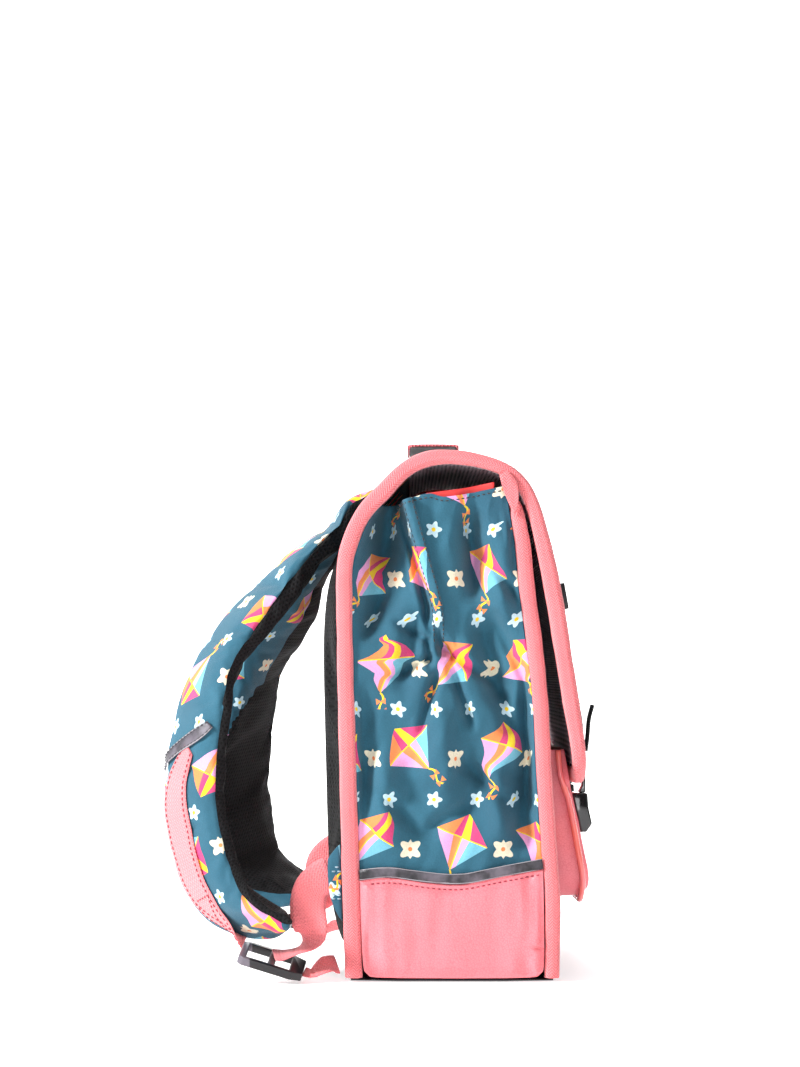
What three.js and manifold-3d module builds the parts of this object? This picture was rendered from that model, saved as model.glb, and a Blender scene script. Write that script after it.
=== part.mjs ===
// A children's school satchel worn on the back, standing on its base.
// Millimetres, +Z up. The front of the bag faces -Y and the shoulder straps are on the +Y side.
// The origin is on the floor, at the centre of the base.
import * as THREE from 'three';
import { mergeVertices } from 'three/addons/utils/BufferGeometryUtils.js';
import Module from 'manifold-3d';

const wasm = await Module();
wasm.setup();

// Driving dimensions
const bodyWidth = 300;
const bodyDepth = 150;
const bodyHeight = 372;
const gap = 0.3;
const seamGap = 0.9;

// The long padded sheet (back, top and flap) and its bound edge
const sheetThickness = 5;
const bindingBead = 12;
const bindingWall = 2;
const bindingReach = 9;
const flapCornerRadius = 30;
const liningThickness = 1.2;

// The front panel and its bound edge
const frontThickness = 3;
const frontBead = 11.5;
const frontCornerRadius = 14;
const bindingEndThickness = 2.2;

// Sides and base
const gussetThickness = 1.8;
const gussetInset = 3.4;
const recessDepth = 26;
const pleatWidth = 10;
const pleatHeight = 2.2;
const dentDepth = 6;
const gussetFoot = 58;
const gussetTop = 0.9355 * bodyHeight;
const liningStep = 4.5;
const redLiningDepth = 40;
const redLiningThickness = 1;
const baseThickness = 2;
const baseSetback = 1.6;
const leatherThickness = 1.8;
const leatherHeight = 72;
const leatherCornerRadius = 10;
const reflectiveHeight = 7.5;
const reflectiveThickness = 0.8;

// Back pad
const padWidth = 250;
const padBottom = 8;
const padTop = 0.8226 * bodyHeight;
const padThickness = 12;
const padChannelDepth = 3;

// Front pocket
const pocketWidth = 240;
const pocketBottom = 0.145 * bodyHeight;
const pocketTop = 0.43 * bodyHeight;
const pocketDepth = 26.7;
const pocketWall = 2;
const pocketCornerRadius = 24;
const pocketBulge = 3.5;
const pipingDiameter = 4.4;

// Closures
const closureSpacing = 150;
const closureStrapWidth = 20;
const closureStrapThickness = 1.6;
const lockWidth = 28;
const lockHeight = 28;
const lockTop = 0.344 * bodyHeight;
const lockBottom = lockTop - lockHeight;
const lockThickness = 12;
const tongueWidth = 23;
const tongueThickness = 2.6;
const tongueOverlap = 16;
const sliderHeight = 19;
const sliderWidth = 27;
const sliderThickness = 5.4;
const ringHeight = 11;
const ringWidth = 25;

// Shoulder straps
const strapWidth = 64;
const strapReach = 110;
const strapFaceHeight = 4;
const strapSeamDepth = 8.5;
const strapMeshDepth = 7.5;
const strapHang = 15;
const strapWebbingWidth = 30;
const strapWebbingOffset = 4;
const webbingThickness = 1.5;
const strapReflectorHeight = 7;
const adjustWebbingWidth = 25;
const buckleLength = 46;
const buckleWidth = 37;
const buckleThickness = 6;
const buckleBar = 5;
const buckleRest = 0.6;
const tabThickness = 3;
const tabReach = 9.6;
const tabHeight = 56;
const tabCorner = 11;

// Carry handle
const handleWidth = 34;
const handleSpan = 130;
const handleFoot = 16;
const handleRise = 11;
const handleThickness = 2.4;
const handleCoverSpan = 84;
const handleCoverWall = 1.8;

const halfWidth = bodyWidth / 2;
const halfDepth = bodyDepth / 2;

const finishes = {
  cloth: { color: 0x3c6c80, roughness: 0.9, metalness: 0 },
  tape: { color: 0xff8a8e, roughness: 0.85, metalness: 0 },
  leather: { color: 0xfa8c96, roughness: 0.55, metalness: 0 },
  piping: { color: 0xf0705c, roughness: 0.3, metalness: 0 },
  mesh: { color: 0x19191b, roughness: 0.95, metalness: 0 },
  lining: { color: 0x4a4148, roughness: 0.95, metalness: 0 },
  red: { color: 0xeb3c3c, roughness: 0.7, metalness: 0 },
  reflective: { color: 0x645f69, roughness: 0.4, metalness: 0.1 },
  plastic: { color: 0x101012, roughness: 0.45, metalness: 0 },
  lock: { color: 0x232326, roughness: 0.25, metalness: 0.6 },
};

const bag = new THREE.Group();

// Mesh building

function signedVolume(geometry) {
  const p = geometry.getAttribute('position');
  const index = geometry.getIndex();
  const a = new THREE.Vector3();
  const b = new THREE.Vector3();
  const c = new THREE.Vector3();
  let volume = 0;
  for (let i = 0; i < index.count; i += 3) {
    a.fromBufferAttribute(p, index.getX(i));
    b.fromBufferAttribute(p, index.getX(i + 1));
    c.fromBufferAttribute(p, index.getX(i + 2));
    volume += a.dot(b.cross(c));
  }
  return volume / 6;
}

function facingOut(geometry) {
  if (signedVolume(geometry) >= 0) return geometry;
  const list = Array.from(geometry.getIndex().array);
  for (let i = 0; i < list.length; i += 3) {
    [list[i], list[i + 1]] = [list[i + 1], list[i]];
  }
  geometry.setIndex(list);
  return geometry;
}

function indexed(points, triangles) {
  const geometry = new THREE.BufferGeometry();
  geometry.setAttribute('position', new THREE.Float32BufferAttribute(points.flatMap((p) => [p.x, p.y, p.z]), 3));
  geometry.setIndex(triangles);
  return facingOut(geometry);
}

// Rings of points joined one to the next, closed at both ends. The section gives the ends' faces.
function loft(rings, section) {
  const size = section.length;
  const triangles = [];
  for (let i = 0; i + 1 < rings.length; i += 1) {
    for (let j = 0; j < size; j += 1) {
      const a = i * size + j;
      const b = i * size + ((j + 1) % size);
      triangles.push(a, b, a + size, b, b + size, a + size);
    }
  }
  const last = (rings.length - 1) * size;
  const outline = section.map(([u, w]) => new THREE.Vector2(u, w));
  const counterClockwise = THREE.ShapeUtils.area(outline) > 0;
  for (const [a, b, c] of THREE.ShapeUtils.triangulateShape(outline, [])) {
    if (counterClockwise) triangles.push(a, c, b, last + a, last + b, last + c);
    else triangles.push(a, b, c, last + a, last + c, last + b);
  }
  return indexed(rings.flat(), triangles);
}

// Two grids of points, a front face and a back face, joined round their rim.
function slab(front, back) {
  const rows = front.length;
  const columns = front[0].length;
  const points = [...front.flat(), ...back.flat()];
  const shift = rows * columns;
  const triangles = [];
  const quad = (a, b, c, d) => triangles.push(a, b, c, a, c, d);
  for (let i = 0; i + 1 < rows; i += 1) {
    for (let j = 0; j + 1 < columns; j += 1) {
      const a = i * columns + j;
      quad(a, a + 1, a + columns + 1, a + columns);
      quad(shift + a + columns, shift + a + columns + 1, shift + a + 1, shift + a);
    }
  }
  const rim = [];
  for (let j = 0; j < columns; j += 1) rim.push(j);
  for (let i = 1; i < rows; i += 1) rim.push(i * columns + columns - 1);
  for (let j = columns - 2; j >= 0; j -= 1) rim.push((rows - 1) * columns + j);
  for (let i = rows - 2; i > 0; i -= 1) rim.push(i * columns);
  rim.forEach((a, k) => {
    const b = rim[(k + 1) % rim.length];
    quad(b, a, shift + a, shift + b);
  });
  return indexed(points, triangles);
}

function mirrored(geometry) {
  const copy = geometry.clone();
  copy.scale(-1, 1, 1);
  return facingOut(copy);
}

function addMesh(name, geometry, finish) {
  const mesh = new THREE.Mesh(geometry, new THREE.MeshStandardMaterial(finishes[finish]));
  mesh.name = name;
  bag.add(mesh);
}

// A piece on the left side of the bag and its mirror image on the right.
function addPair(name, geometry, finish) {
  addMesh(`${name}_left`, geometry, finish);
  addMesh(`${name}_right`, mirrored(geometry), finish);
}

function toSolid(geometry) {
  const bare = geometry.clone();
  bare.deleteAttribute('normal');
  bare.deleteAttribute('uv');
  const merged = mergeVertices(bare, 1e-4);
  return new wasm.Manifold(new wasm.Mesh({
    numProp: 3,
    vertProperties: new Float32Array(merged.getAttribute('position').array),
    triVerts: new Uint32Array(merged.getIndex().array),
  }));
}

function fromSolid(solid) {
  const mesh = solid.getMesh();
  const geometry = new THREE.BufferGeometry();
  geometry.setAttribute('position', new THREE.Float32BufferAttribute(mesh.vertProperties, 3));
  geometry.setIndex(Array.from(mesh.triVerts));
  return geometry;
}

// Small sums

const lerp = (a, b, share) => a + (b - a) * share;
const clamp = (value) => Math.min(1, Math.max(0, value));
const smooth = (value) => clamp(value) * clamp(value) * (3 - 2 * clamp(value));
const dome = (distance) => (Math.abs(distance) < 1 ? Math.cos(distance * Math.PI / 2) ** 2 : 0);

// The value at a place in a list of [place, value] pairs, the places in rising order.
function along(pairs, place) {
  if (place <= pairs[0][0]) return pairs[0][1];
  for (let i = 1; i < pairs.length; i += 1) {
    const [from, low] = pairs[i - 1];
    const [to, high] = pairs[i];
    if (place <= to) return lerp(low, high, (place - from) / (to - from));
  }
  return pairs[pairs.length - 1][1];
}

// Profiles of the two bound sheets, seen from the side

// Columns: y share of half depth, z share of body height, bead share of the binding's bead.
// The line is the outer side of the bound edge, from the foot of the back over the top to the flap's end.
const longSheetRows = [
  [1.0, 0.0062, 1.12],
  [1.011, 0.105, 1.12],
  [1.031, 0.242, 1.1],
  [1.064, 0.524, 1.02],
  [1.083, 0.712, 1.02],
  [1.079, 0.788, 1.02],
  [1.027, 0.828, 1.05],
  [0.96, 0.863, 1.05],
  [0.853, 0.898, 1.05],
  [0.693, 0.93, 1.05],
  [0.547, 0.963, 1.0],
  [0.387, 0.986, 1.0],
  [0.173, 1.0, 1.0],
  [-0.1, 0.997, 0.88],
  [-0.327, 0.988, 0.84],
  [-0.513, 0.975, 0.84],
  [-0.68, 0.95, 0.84],
  [-0.8, 0.916, 0.86],
  [-0.9, 0.852, 0.96],
  [-1.013, 0.758, 1.06],
  [-1.111, 0.64, 1.05],
  [-1.204, 0.511, 1.0],
  [-1.26, 0.426, 0.88],
  [-1.267, 0.372, 0.84],
];

// Same columns, from the foot of the front panel to its top. The outer side faces the front.
const frontRows = [
  [-1.008, 0.0062, 1.0],
  [-1.017, 0.166, 1.05],
  [-0.989, 0.241, 1.05],
  [-0.933, 0.41, 1.02],
  [-0.907, 0.523, 1.0],
  [-0.853, 0.636, 1.05],
  [-0.78, 0.749, 1.05],
  [-0.743, 0.831, 1.02],
  [-0.655, 0.903, 0.85],
];

function profileOf(rows, bead, outward) {
  const points = rows.map(([y, z, share]) => new THREE.Vector3(share * bead, y * halfDepth, z * bodyHeight));
  const curve = new THREE.CatmullRomCurve3(points, false, 'centripetal');
  const station = (p, tangent) => {
    const length = Math.hypot(tangent.y, tangent.z);
    const onward = new THREE.Vector3(0, tangent.y / length, tangent.z / length);
    const normal = new THREE.Vector3(0, onward.z, -onward.y).multiplyScalar(outward);
    const outer = new THREE.Vector3(0, p.y, p.z);
    const middle = outer.clone().addScaledVector(normal, -p.x / 2);
    return { bead: p.x, along: onward, normal, outer, middle };
  };
  return {
    length: curve.getLength(),
    at: (t) => station(curve.getPoint(t), curve.getTangent(t)),
    atShare: (u) => station(curve.getPointAt(u), curve.getTangentAt(u)),
    shareToRow: (u) => curve.getUtoTmapping(u),
  };
}

const longSheet = profileOf(longSheetRows, bindingBead, 1);
const frontSheet = profileOf(frontRows, frontBead, -1);

// Stations from the square foot to the bound end, whose two corners are round.
function edgeStations(profile, radius, count, cornerCount) {
  const cornerShare = 1 - radius / profile.length;
  const lastRow = profile.shareToRow(cornerShare);
  const half = halfWidth - bindingWall - gap;
  const stations = [];
  for (let i = 0; i < count; i += 1) {
    stations.push({ ...profile.at(lastRow * i / count), half, turn: 0 });
  }
  for (let i = 0; i <= cornerCount; i += 1) {
    const turn = (i / cornerCount) * Math.PI / 2;
    const share = 1 - (radius / profile.length) * (1 - Math.sin(turn));
    stations.push({ ...profile.atShare(share), half: half - radius * (1 - Math.cos(turn)), turn });
  }
  return stations;
}

function panelGeometry(stations, thickness) {
  const section = [[-1, -1], [1, -1], [1, 1], [-1, 1]];
  const rings = stations.map(({ middle, normal, half }) => section.map(([side, face]) => (
    middle.clone().addScaledVector(normal, face * thickness / 2).setX(side * half)
  )));
  return loft(rings, section);
}

// The tape's section round the sheet's edge: how far out from the edge, how far from the sheet's middle.
function tapeSection(bead, thickness) {
  const h = bead / 2;
  const slot = thickness / 2 + gap;
  const out = gap + bindingWall;
  return [
    [-bindingReach, Math.max(h * 0.8, slot + 0.6)], [-bindingReach * 0.4, h], [out * 0.45, h * 0.86],
    [out, h * 0.4], [out, -h * 0.4], [out * 0.45, -h * 0.86], [-bindingReach * 0.4, -h],
    [-bindingReach, -Math.max(h * 0.8, slot + 0.6)], [-bindingReach, -slot], [gap, -slot], [gap, slot],
    [-bindingReach, slot],
  ];
}

function bindingGeometry(stations, thickness, acrossCount) {
  const ring = (centre, out, normal, bead) => tapeSection(bead, thickness).map(([o, n]) => (
    centre.clone().addScaledVector(out, o).addScaledVector(normal, n)
  ));
  const side = (sign, list) => list.map(({ middle, normal, half, turn, bead, along: onward }) => {
    const out = new THREE.Vector3(sign * Math.cos(turn), 0, 0).addScaledVector(onward, Math.sin(turn));
    return ring(middle.clone().setX(sign * half), out, normal, bead);
  });
  const end = stations[stations.length - 1];
  const across = [];
  for (let i = 1; i < acrossCount; i += 1) {
    const x = lerp(-end.half, end.half, i / acrossCount);
    across.push(ring(end.middle.clone().setX(x), end.along, end.normal, end.bead));
  }
  const rings = [...side(-1, stations), ...across, ...side(1, [...stations].reverse())];
  return loft(rings, tapeSection(stations[0].bead, thickness));
}

const longStations = edgeStations(longSheet, flapCornerRadius, 36, 5);
const frontStations = edgeStations(frontSheet, frontCornerRadius, 15, 4);

addMesh('back_flap_panel', panelGeometry(longStations, sheetThickness), 'cloth');
addMesh('edge_binding', bindingGeometry(longStations, sheetThickness, 6), 'tape');
addMesh('front_panel', panelGeometry(frontStations, frontThickness), 'cloth');
addMesh('front_binding', bindingGeometry(frontStations, frontThickness, 4), 'tape');

// The faces of the two sheets and of their bindings, as [z, y] pairs in rising z
const backEndRow = 0.42;
const flapStartRow = 0.7;
const samples = 30;
function faceLine(profile, from, to, depth) {
  const pairs = [];
  for (let i = 0; i <= samples; i += 1) {
    const s = profile.at(lerp(from, to, i / samples));
    const p = s.outer.clone().addScaledVector(s.normal, -depth(s.bead));
    pairs.push([p.z, p.y]);
  }
  return pairs[0][0] < pairs[samples][0] ? pairs : pairs.reverse();
}
const backBindingOuter = faceLine(longSheet, 0, backEndRow, () => 0);
const backBindingInner = faceLine(longSheet, 0, backEndRow, (bead) => bead + seamGap);
const frontBindingInner = faceLine(frontSheet, 0, 1, (bead) => bead + seamGap);
const frontBindingOuter = faceLine(frontSheet, 0, 1, () => 0);
const frontSheetOuter = faceLine(frontSheet, 0, 1, (bead) => (bead - frontThickness) / 2);
const flapFace = faceLine(longSheet, flapStartRow, 1, () => 0);
const flapSheetOuter = faceLine(longSheet, flapStartRow, 1, (bead) => (bead - sheetThickness) / 2);

// Lining under the top and the flap

const liningStart = 0.46;
const liningEnd = 0.975;
const liningSteps = 24;

function flapLining() {
  const section = [[-1, 0], [1, 0], [1, 1], [-1, 1]];
  const reach = halfWidth - bindingWall - bindingReach - 3 * gap;
  const rings = [];
  for (let i = 0; i <= liningSteps; i += 1) {
    const s = longSheet.at(lerp(liningStart, liningEnd, i / liningSteps));
    const half = Math.min(reach, reach - flapCornerRadius * smooth((i / liningSteps - 0.9) / 0.12) * 0.6);
    rings.push(section.map(([side, depth]) => (
      s.middle.clone()
        .addScaledVector(s.normal, -sheetThickness / 2 - gap - depth * liningThickness)
        .setX(side * half)
    )));
  }
  return loft(rings, section);
}

addMesh('flap_lining', flapLining(), 'lining');

// Sides: pleated cloth

// Columns: share of the side's width from back to front, share of the height, half width share,
// half height share, depth share of the dent's depth
const dentRows = [
  [0.57, 0.62, 0.05, 0.13, 1.0],
  [0.86, 0.53, 0.06, 0.2, 1.1],
  [0.72, 0.9, 0.07, 0.24, 1.2],
  [0.47, 0.9, 0.05, 0.12, 0.5],
  [0.92, 0.88, 0.05, 0.16, 0.6],
  [0.1, 0.5, 0.1, 0.3, 0.5],
  [0.93, 0.2, 0.06, 0.25, 0.7],
  [0.35, 0.3, 0.16, 0.14, -0.35],
  [0.66, 0.3, 0.14, 0.2, -0.35],
  [0.3, 0.62, 0.1, 0.12, -0.4],
];
// Columns: z share of the gusset's top, y share of half depth. The pleat's middle line.
const pleatRows = [
  [0.0, 0.1], [0.62, 0.1], [0.735, 0.13], [0.85, 0.26], [0.965, 0.41], [1.0, 0.46],
];
// Columns: share of the side's width from back to front, share of the gusset's top height.
const topRows = [
  [0.0, 0.948], [0.19, 0.96], [0.28, 0.966], [0.6, 0.975], [1.0, 0.994],
];
// How deep the recess behind the pleat is, from the back binding to the pleat's edge.
const recessShares = [0, 0.5, 0.86, 1, 0.72, 0];
const recessFade = 0.56;
const pleatFade = 0.6;
const frontColumns = 8;
const gussetRows = 20;

function pleatLine(z) {
  return along(pleatRows, z / gussetTop) * halfDepth;
}

function gussetColumns(z) {
  const back = along(backBindingInner, z);
  const front = along(frontBindingInner, z);
  const pleat = pleatLine(z);
  const columns = recessShares.map((share, i) => ({
    y: lerp(back, pleat + pleatWidth / 2, i / (recessShares.length - 1)), recess: share, pleat: 0,
  }));
  columns[columns.length - 1].pleat = 0.8;
  columns.push({ y: pleat, recess: 0, pleat: 1 });
  columns.push({ y: pleat - pleatWidth / 2, recess: 0, pleat: 0.8 });
  for (let i = 1; i <= frontColumns; i += 1) {
    columns.push({ y: lerp(pleat - pleatWidth / 2, front, i / frontColumns), recess: 0, pleat: 0 });
  }
  return { columns, back, front };
}

function gussetFace(column, back, front, height) {
  const acrossShare = (back - column.y) / (back - front);
  const edge = smooth(acrossShare / 0.06) * smooth((1 - acrossShare) / 0.06);
  let depth = recessDepth * column.recess * smooth((height - recessFade) / (1 - recessFade));
  depth -= pleatHeight * column.pleat * smooth((height - pleatFade) / 0.1);
  for (const [place, level, wide, tall, share] of dentRows) {
    const across = dome((acrossShare - place) / wide / 2);
    const up = dome((height - level) / tall);
    depth += dentDepth * share * across * up * edge;
  }
  return -(halfWidth - gussetInset) + Math.max(depth, -pleatHeight);
}

function gusset() {
  const outer = [];
  const inner = [];
  for (let i = 0; i <= gussetRows; i += 1) {
    const height = i / gussetRows;
    const level = lerp(gussetFoot, gussetTop * 0.97, height);
    const first = gussetColumns(level);
    const row = first.columns.map((column, j) => {
      const share = (first.back - column.y) / (first.back - first.front);
      const z = lerp(gussetFoot, gussetTop * along(topRows, share), height);
      const { columns, back, front } = gussetColumns(z);
      return new THREE.Vector3(gussetFace(columns[j], back, front, height), columns[j].y, z);
    });
    outer.push(row);
    inner.push(row.map((p) => p.clone().setX(p.x + gussetThickness)));
  }
  return { outer, inner };
}

const gussetGrid = gusset();
addPair('gusset', slab(gussetGrid.outer, gussetGrid.inner), 'cloth');

// The red lining stands a little above the gusset's top edge, in front of the pleat.
function redLining() {
  const last = gussetGrid.inner.length - 1;
  const firstRow = last - Math.round(redLiningDepth / ((gussetTop - gussetFoot) / gussetRows));
  const firstColumn = recessShares.length + 2;
  const line = (r, up) => gussetGrid.inner[r].slice(firstColumn, -1).map((p) => (
    new THREE.Vector3(p.x + 2 * gap, p.y, p.z + up)
  ));
  const faces = [];
  for (let r = firstRow; r <= last; r += 1) faces.push(line(r, 0));
  faces.push(line(last, liningStep));
  return slab(faces.map((row) => row.map((p) => p.clone().setX(p.x + redLiningThickness))), faces);
}

addPair('gusset_lining', redLining(), 'red');

// Leather lower sides, reflective bands and base

// Columns: share of the side's depth from back to front, share of the leather's height.
const leatherTopRows = [
  [0.0, 0.97], [0.15, 1.01], [0.38, 0.945], [0.55, 0.925], [0.78, 1.01], [1.0, 1.08],
];
const leatherSteps = 12;

function leatherTop(share) {
  return leatherHeight * along(leatherTopRows, share);
}

// An outline in the side's plane, from one x to another.
function sidePlate(outline, from, to) {
  const ring = (x) => outline.map(([y, z]) => new THREE.Vector3(x, y, z));
  return loft([ring(from), ring(to)], outline);
}

function sideLine(heightAt, reverse) {
  const line = [];
  for (let i = 0; i <= leatherSteps; i += 1) {
    const share = reverse ? 1 - i / leatherSteps : i / leatherSteps;
    const z = heightAt(share);
    line.push([lerp(along(backBindingInner, z), along(frontBindingInner, z), share), z]);
  }
  return line;
}

function sideBase() {
  const back = along(backBindingInner, 0);
  const front = along(frontBindingInner, 0);
  const foot = baseThickness + gap;
  const corner = (centreY, sign) => [0, 1, 2, 3].map((i) => {
    const angle = (i / 3) * Math.PI / 2;
    return [
      centreY + sign * leatherCornerRadius * Math.cos(angle),
      foot + leatherCornerRadius * (1 - Math.sin(angle)),
    ];
  });
  const frontCorner = corner(front + leatherCornerRadius, -1);
  const backCorner = corner(back - leatherCornerRadius, 1).reverse();
  const outline = [...sideLine(leatherTop, false), ...frontCorner, ...backCorner];
  const inner = -(halfWidth - gussetInset) - gap;
  return sidePlate(outline, inner - leatherThickness, inner);
}

function sideReflector() {
  const lower = sideLine((share) => leatherTop(share) + gap, false);
  const upper = sideLine((share) => leatherTop(share) + reflectiveHeight, true);
  const inner = -(halfWidth - gussetInset) - pleatHeight - gap;
  return sidePlate([...lower, ...upper], inner - reflectiveThickness, inner);
}

// The front tape's end, folded over the side's top front corner.
// Columns: y share of half depth, z share of body height.
const bindingEndRows = [
  [-0.448, 0.95], [-0.533, 0.957], [-0.62, 0.935], [-0.633, 0.906], [-0.613, 0.879], [-0.587, 0.874],
  [-0.547, 0.89], [-0.48, 0.922],
];

function bindingEnd() {
  const outline = bindingEndRows.map(([y, z]) => [y * halfDepth, z * bodyHeight]);
  return sidePlate(outline, -halfWidth - gap - bindingEndThickness, -halfWidth - gap);
}

addPair('binding_end', bindingEnd(), 'tape');
addPair('side_base', sideBase(), 'leather');
addPair('reflective_band', sideReflector(), 'reflective');

function basePanel() {
  const geometry = new THREE.BoxGeometry(1, 1, 1);
  const back = along(backBindingOuter, 0) - baseSetback;
  const front = along(frontBindingOuter, 0) + baseSetback;
  geometry.scale(2 * (halfWidth - baseSetback), back - front, baseThickness);
  geometry.translate(0, (back + front) / 2, baseThickness / 2);
  return mergeVertices(geometry.deleteAttribute('normal').deleteAttribute('uv'));
}

// Back pad

const padColumns = 10;
const padRim = { width: 0.22, edge: 0.15 };
const padFoot = { narrowing: 0.1, rise: 0.1, slope: 0.16, edge: 0.15 };
const padHead = { narrowing: 0.12, rise: 0.12, slope: 0.18, edge: 0.2 };
const padChannel = { width: 0.25, foot: 0.2, head: 0.25 };
const padEndClearance = 4;

// The pad's heights: its two ends and each station of the sheet that it lies on.
function padLevels() {
  const faces = longStations.slice(0, Math.round(longStations.length / 2)).map(({ middle, normal }) => (
    middle.clone().addScaledVector(normal, sheetThickness / 2 + gap)
  ));
  const pairs = faces.filter((p, i) => i === 0 || p.z > faces[i - 1].z).map((p) => [p.z, p.y]);
  const between = pairs.filter(([z]) => z > padBottom + padEndClearance && z < padTop - padEndClearance);
  return [[padBottom, along(pairs, padBottom)], ...between, [padTop, along(pairs, padTop)]];
}

function backPad() {
  const outer = [];
  const inner = [];
  for (const [z, face] of padLevels()) {
    const up = (z - padBottom) / (padTop - padBottom);
    const outerRow = [];
    const innerRow = [];
    for (let j = 0; j <= padColumns; j += 1) {
      const side = lerp(-1, 1, j / padColumns);
      const footNarrowing = padFoot.narrowing * (1 - smooth(up / padFoot.rise));
      const headNarrowing = padHead.narrowing * (1 - smooth((1 - up) / padHead.rise));
      const x = side * padWidth / 2 * (1 - footNarrowing - headNarrowing);
      const rim = lerp(padRim.edge, 1, smooth((1 - Math.abs(side)) / padRim.width));
      const foot = lerp(padFoot.edge, 1, smooth(up / padFoot.slope));
      const head = lerp(padHead.edge, 1, smooth((1 - up) / padHead.slope));
      const ends = foot * head;
      const channelEnds = smooth(up / padChannel.foot) * smooth((1 - up) / padChannel.head);
      const channel = padChannelDepth * dome(side / padChannel.width) * channelEnds;
      outerRow.push(new THREE.Vector3(x, face + padThickness * rim * ends - channel, z));
      innerRow.push(new THREE.Vector3(x, face, z));
    }
    outer.push(outerRow);
    inner.push(innerRow);
  }
  return slab(outer, inner);
}

addMesh('base_panel', basePanel(), 'plastic');
addMesh('back_pad', backPad(), 'mesh');

// Front pocket

const pocketSide = 8;
const pocketCornerSteps = 4;

// Half outline of the pocket seen from the front, from the top left down and round to the right.
function pocketOutline(inset) {
  const half = pocketWidth / 2 - inset;
  const foot = pocketBottom + inset;
  const radius = pocketCornerRadius - inset;
  const points = [];
  for (let i = 0; i < pocketSide; i += 1) {
    points.push([-half, lerp(pocketTop, foot + radius, i / pocketSide)]);
  }
  for (let i = 0; i <= pocketCornerSteps; i += 1) {
    const angle = (i / pocketCornerSteps) * Math.PI / 2;
    points.push([-half + radius * (1 - Math.cos(angle)), foot + radius * (1 - Math.sin(angle))]);
  }
  const right = points.map(([x, z]) => [-x, z]).reverse();
  return [...points, ...right];
}

// How far the pocket stands off the front panel at a height.
const pocketDepthRows = [[0, 0.93], [0.13, 1.0], [0.37, 0.91], [0.7, 0.76], [0.75, 0.59], [1.0, 0.57]];
function pocketFront(z) {
  const share = (z - pocketBottom) / (pocketTop - pocketBottom);
  return along(frontSheetOuter, z) - pocketDepth * along(pocketDepthRows, share);
}

function pocketBlock(inset, backY, raise) {
  const rim = pocketOutline(inset);
  const face = pocketOutline(inset + 3.5);
  const top = (z) => (z >= pocketTop ? z + raise : z);
  const back = rim.map(([x, z]) => new THREE.Vector3(x, backY(z), top(z)));
  const edge = rim.map(([x, z]) => new THREE.Vector3(x, pocketFront(z) + pocketBulge + inset, top(z)));
  const front = face.map(([x, z]) => new THREE.Vector3(x, pocketFront(z) + inset, top(z)));
  return loft([back, edge, front], rim);
}

function frontPocket() {
  const seat = (z) => along(frontSheetOuter, z) - gap;
  const outer = toSolid(pocketBlock(0, seat, 0));
  const inner = toSolid(pocketBlock(pocketWall, (z) => seat(z) - pocketWall, 10));
  return fromSolid(outer.subtract(inner));
}

function ringsAlong(points, section, upAt) {
  return points.map((p, i) => {
    const before = points[Math.max(0, i - 1)];
    const after = points[Math.min(points.length - 1, i + 1)];
    const onward = after.clone().sub(before).normalize();
    const up = upAt(p, onward, i);
    const side = new THREE.Vector3().crossVectors(onward, up).normalize();
    const square = new THREE.Vector3().crossVectors(side, onward);
    return section.map(([a, b]) => p.clone().addScaledVector(side, a).addScaledVector(square, b));
  });
}

function roundSection(diameter, sides) {
  return Array.from({ length: sides }, (_, i) => {
    const angle = (i / sides) * 2 * Math.PI;
    return [Math.cos(angle) * diameter / 2, Math.sin(angle) * diameter / 2];
  });
}

function pocketPiping() {
  const away = pipingDiameter / 2 + gap;
  const section = roundSection(pipingDiameter, 8);
  const points = pocketOutline(-away).map(([x, z]) => (
    new THREE.Vector3(x, pocketFront(z) + pocketBulge + 1, z)
  ));
  return loft(ringsAlong(points, section, () => new THREE.Vector3(0, -1, 0)), section);
}

addMesh('front_pocket', frontPocket(), 'leather');
addMesh('pocket_piping', pocketPiping(), 'piping');

// Closures on the flap

const flatSection = (width, thickness) => [
  [-width / 2, 0], [width / 2, 0], [width / 2, thickness], [-width / 2, thickness],
];

const flapEnd = flapFace[0][0];
const tongueTop = flapEnd + tongueOverlap;
const ringFoot = 0.866 * bodyHeight;

// Columns: share of the way from the tongue up to the ring, how far off the flap's bound edge line.
const closureRows = [
  [0.0, 1.0], [0.08, 2.4], [0.21, 4.4], [0.38, 5.4], [0.51, 4.2], [0.63, 3.0], [0.73, 2.8], [0.85, 2.6],
  [1.0, 2.2],
];
const tailRows = [[0.02, 3.3], [0.09, 6.0], [0.16, 9.0], [0.22, 13.0]];
const sliderShare = 0.69;

const closureHeight = (share) => lerp(tongueTop + gap, ringFoot - 2 * gap, share);

function closureRibbon(rows) {
  const points = rows.map(([share, off]) => {
    const z = closureHeight(share);
    return new THREE.Vector3(-closureSpacing / 2, along(flapFace, z) - off, z);
  });
  const section = flatSection(closureStrapWidth, closureStrapThickness);
  const outward = () => new THREE.Vector3(0, -1, 0);
  return loft(ringsAlong(points, section, outward), section);
}

const slopeReach = 10;

function slopeAt(z) {
  const change = along(flapFace, z + slopeReach) - along(flapFace, z - slopeReach);
  return Math.atan2(change, 2 * slopeReach);
}

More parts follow.
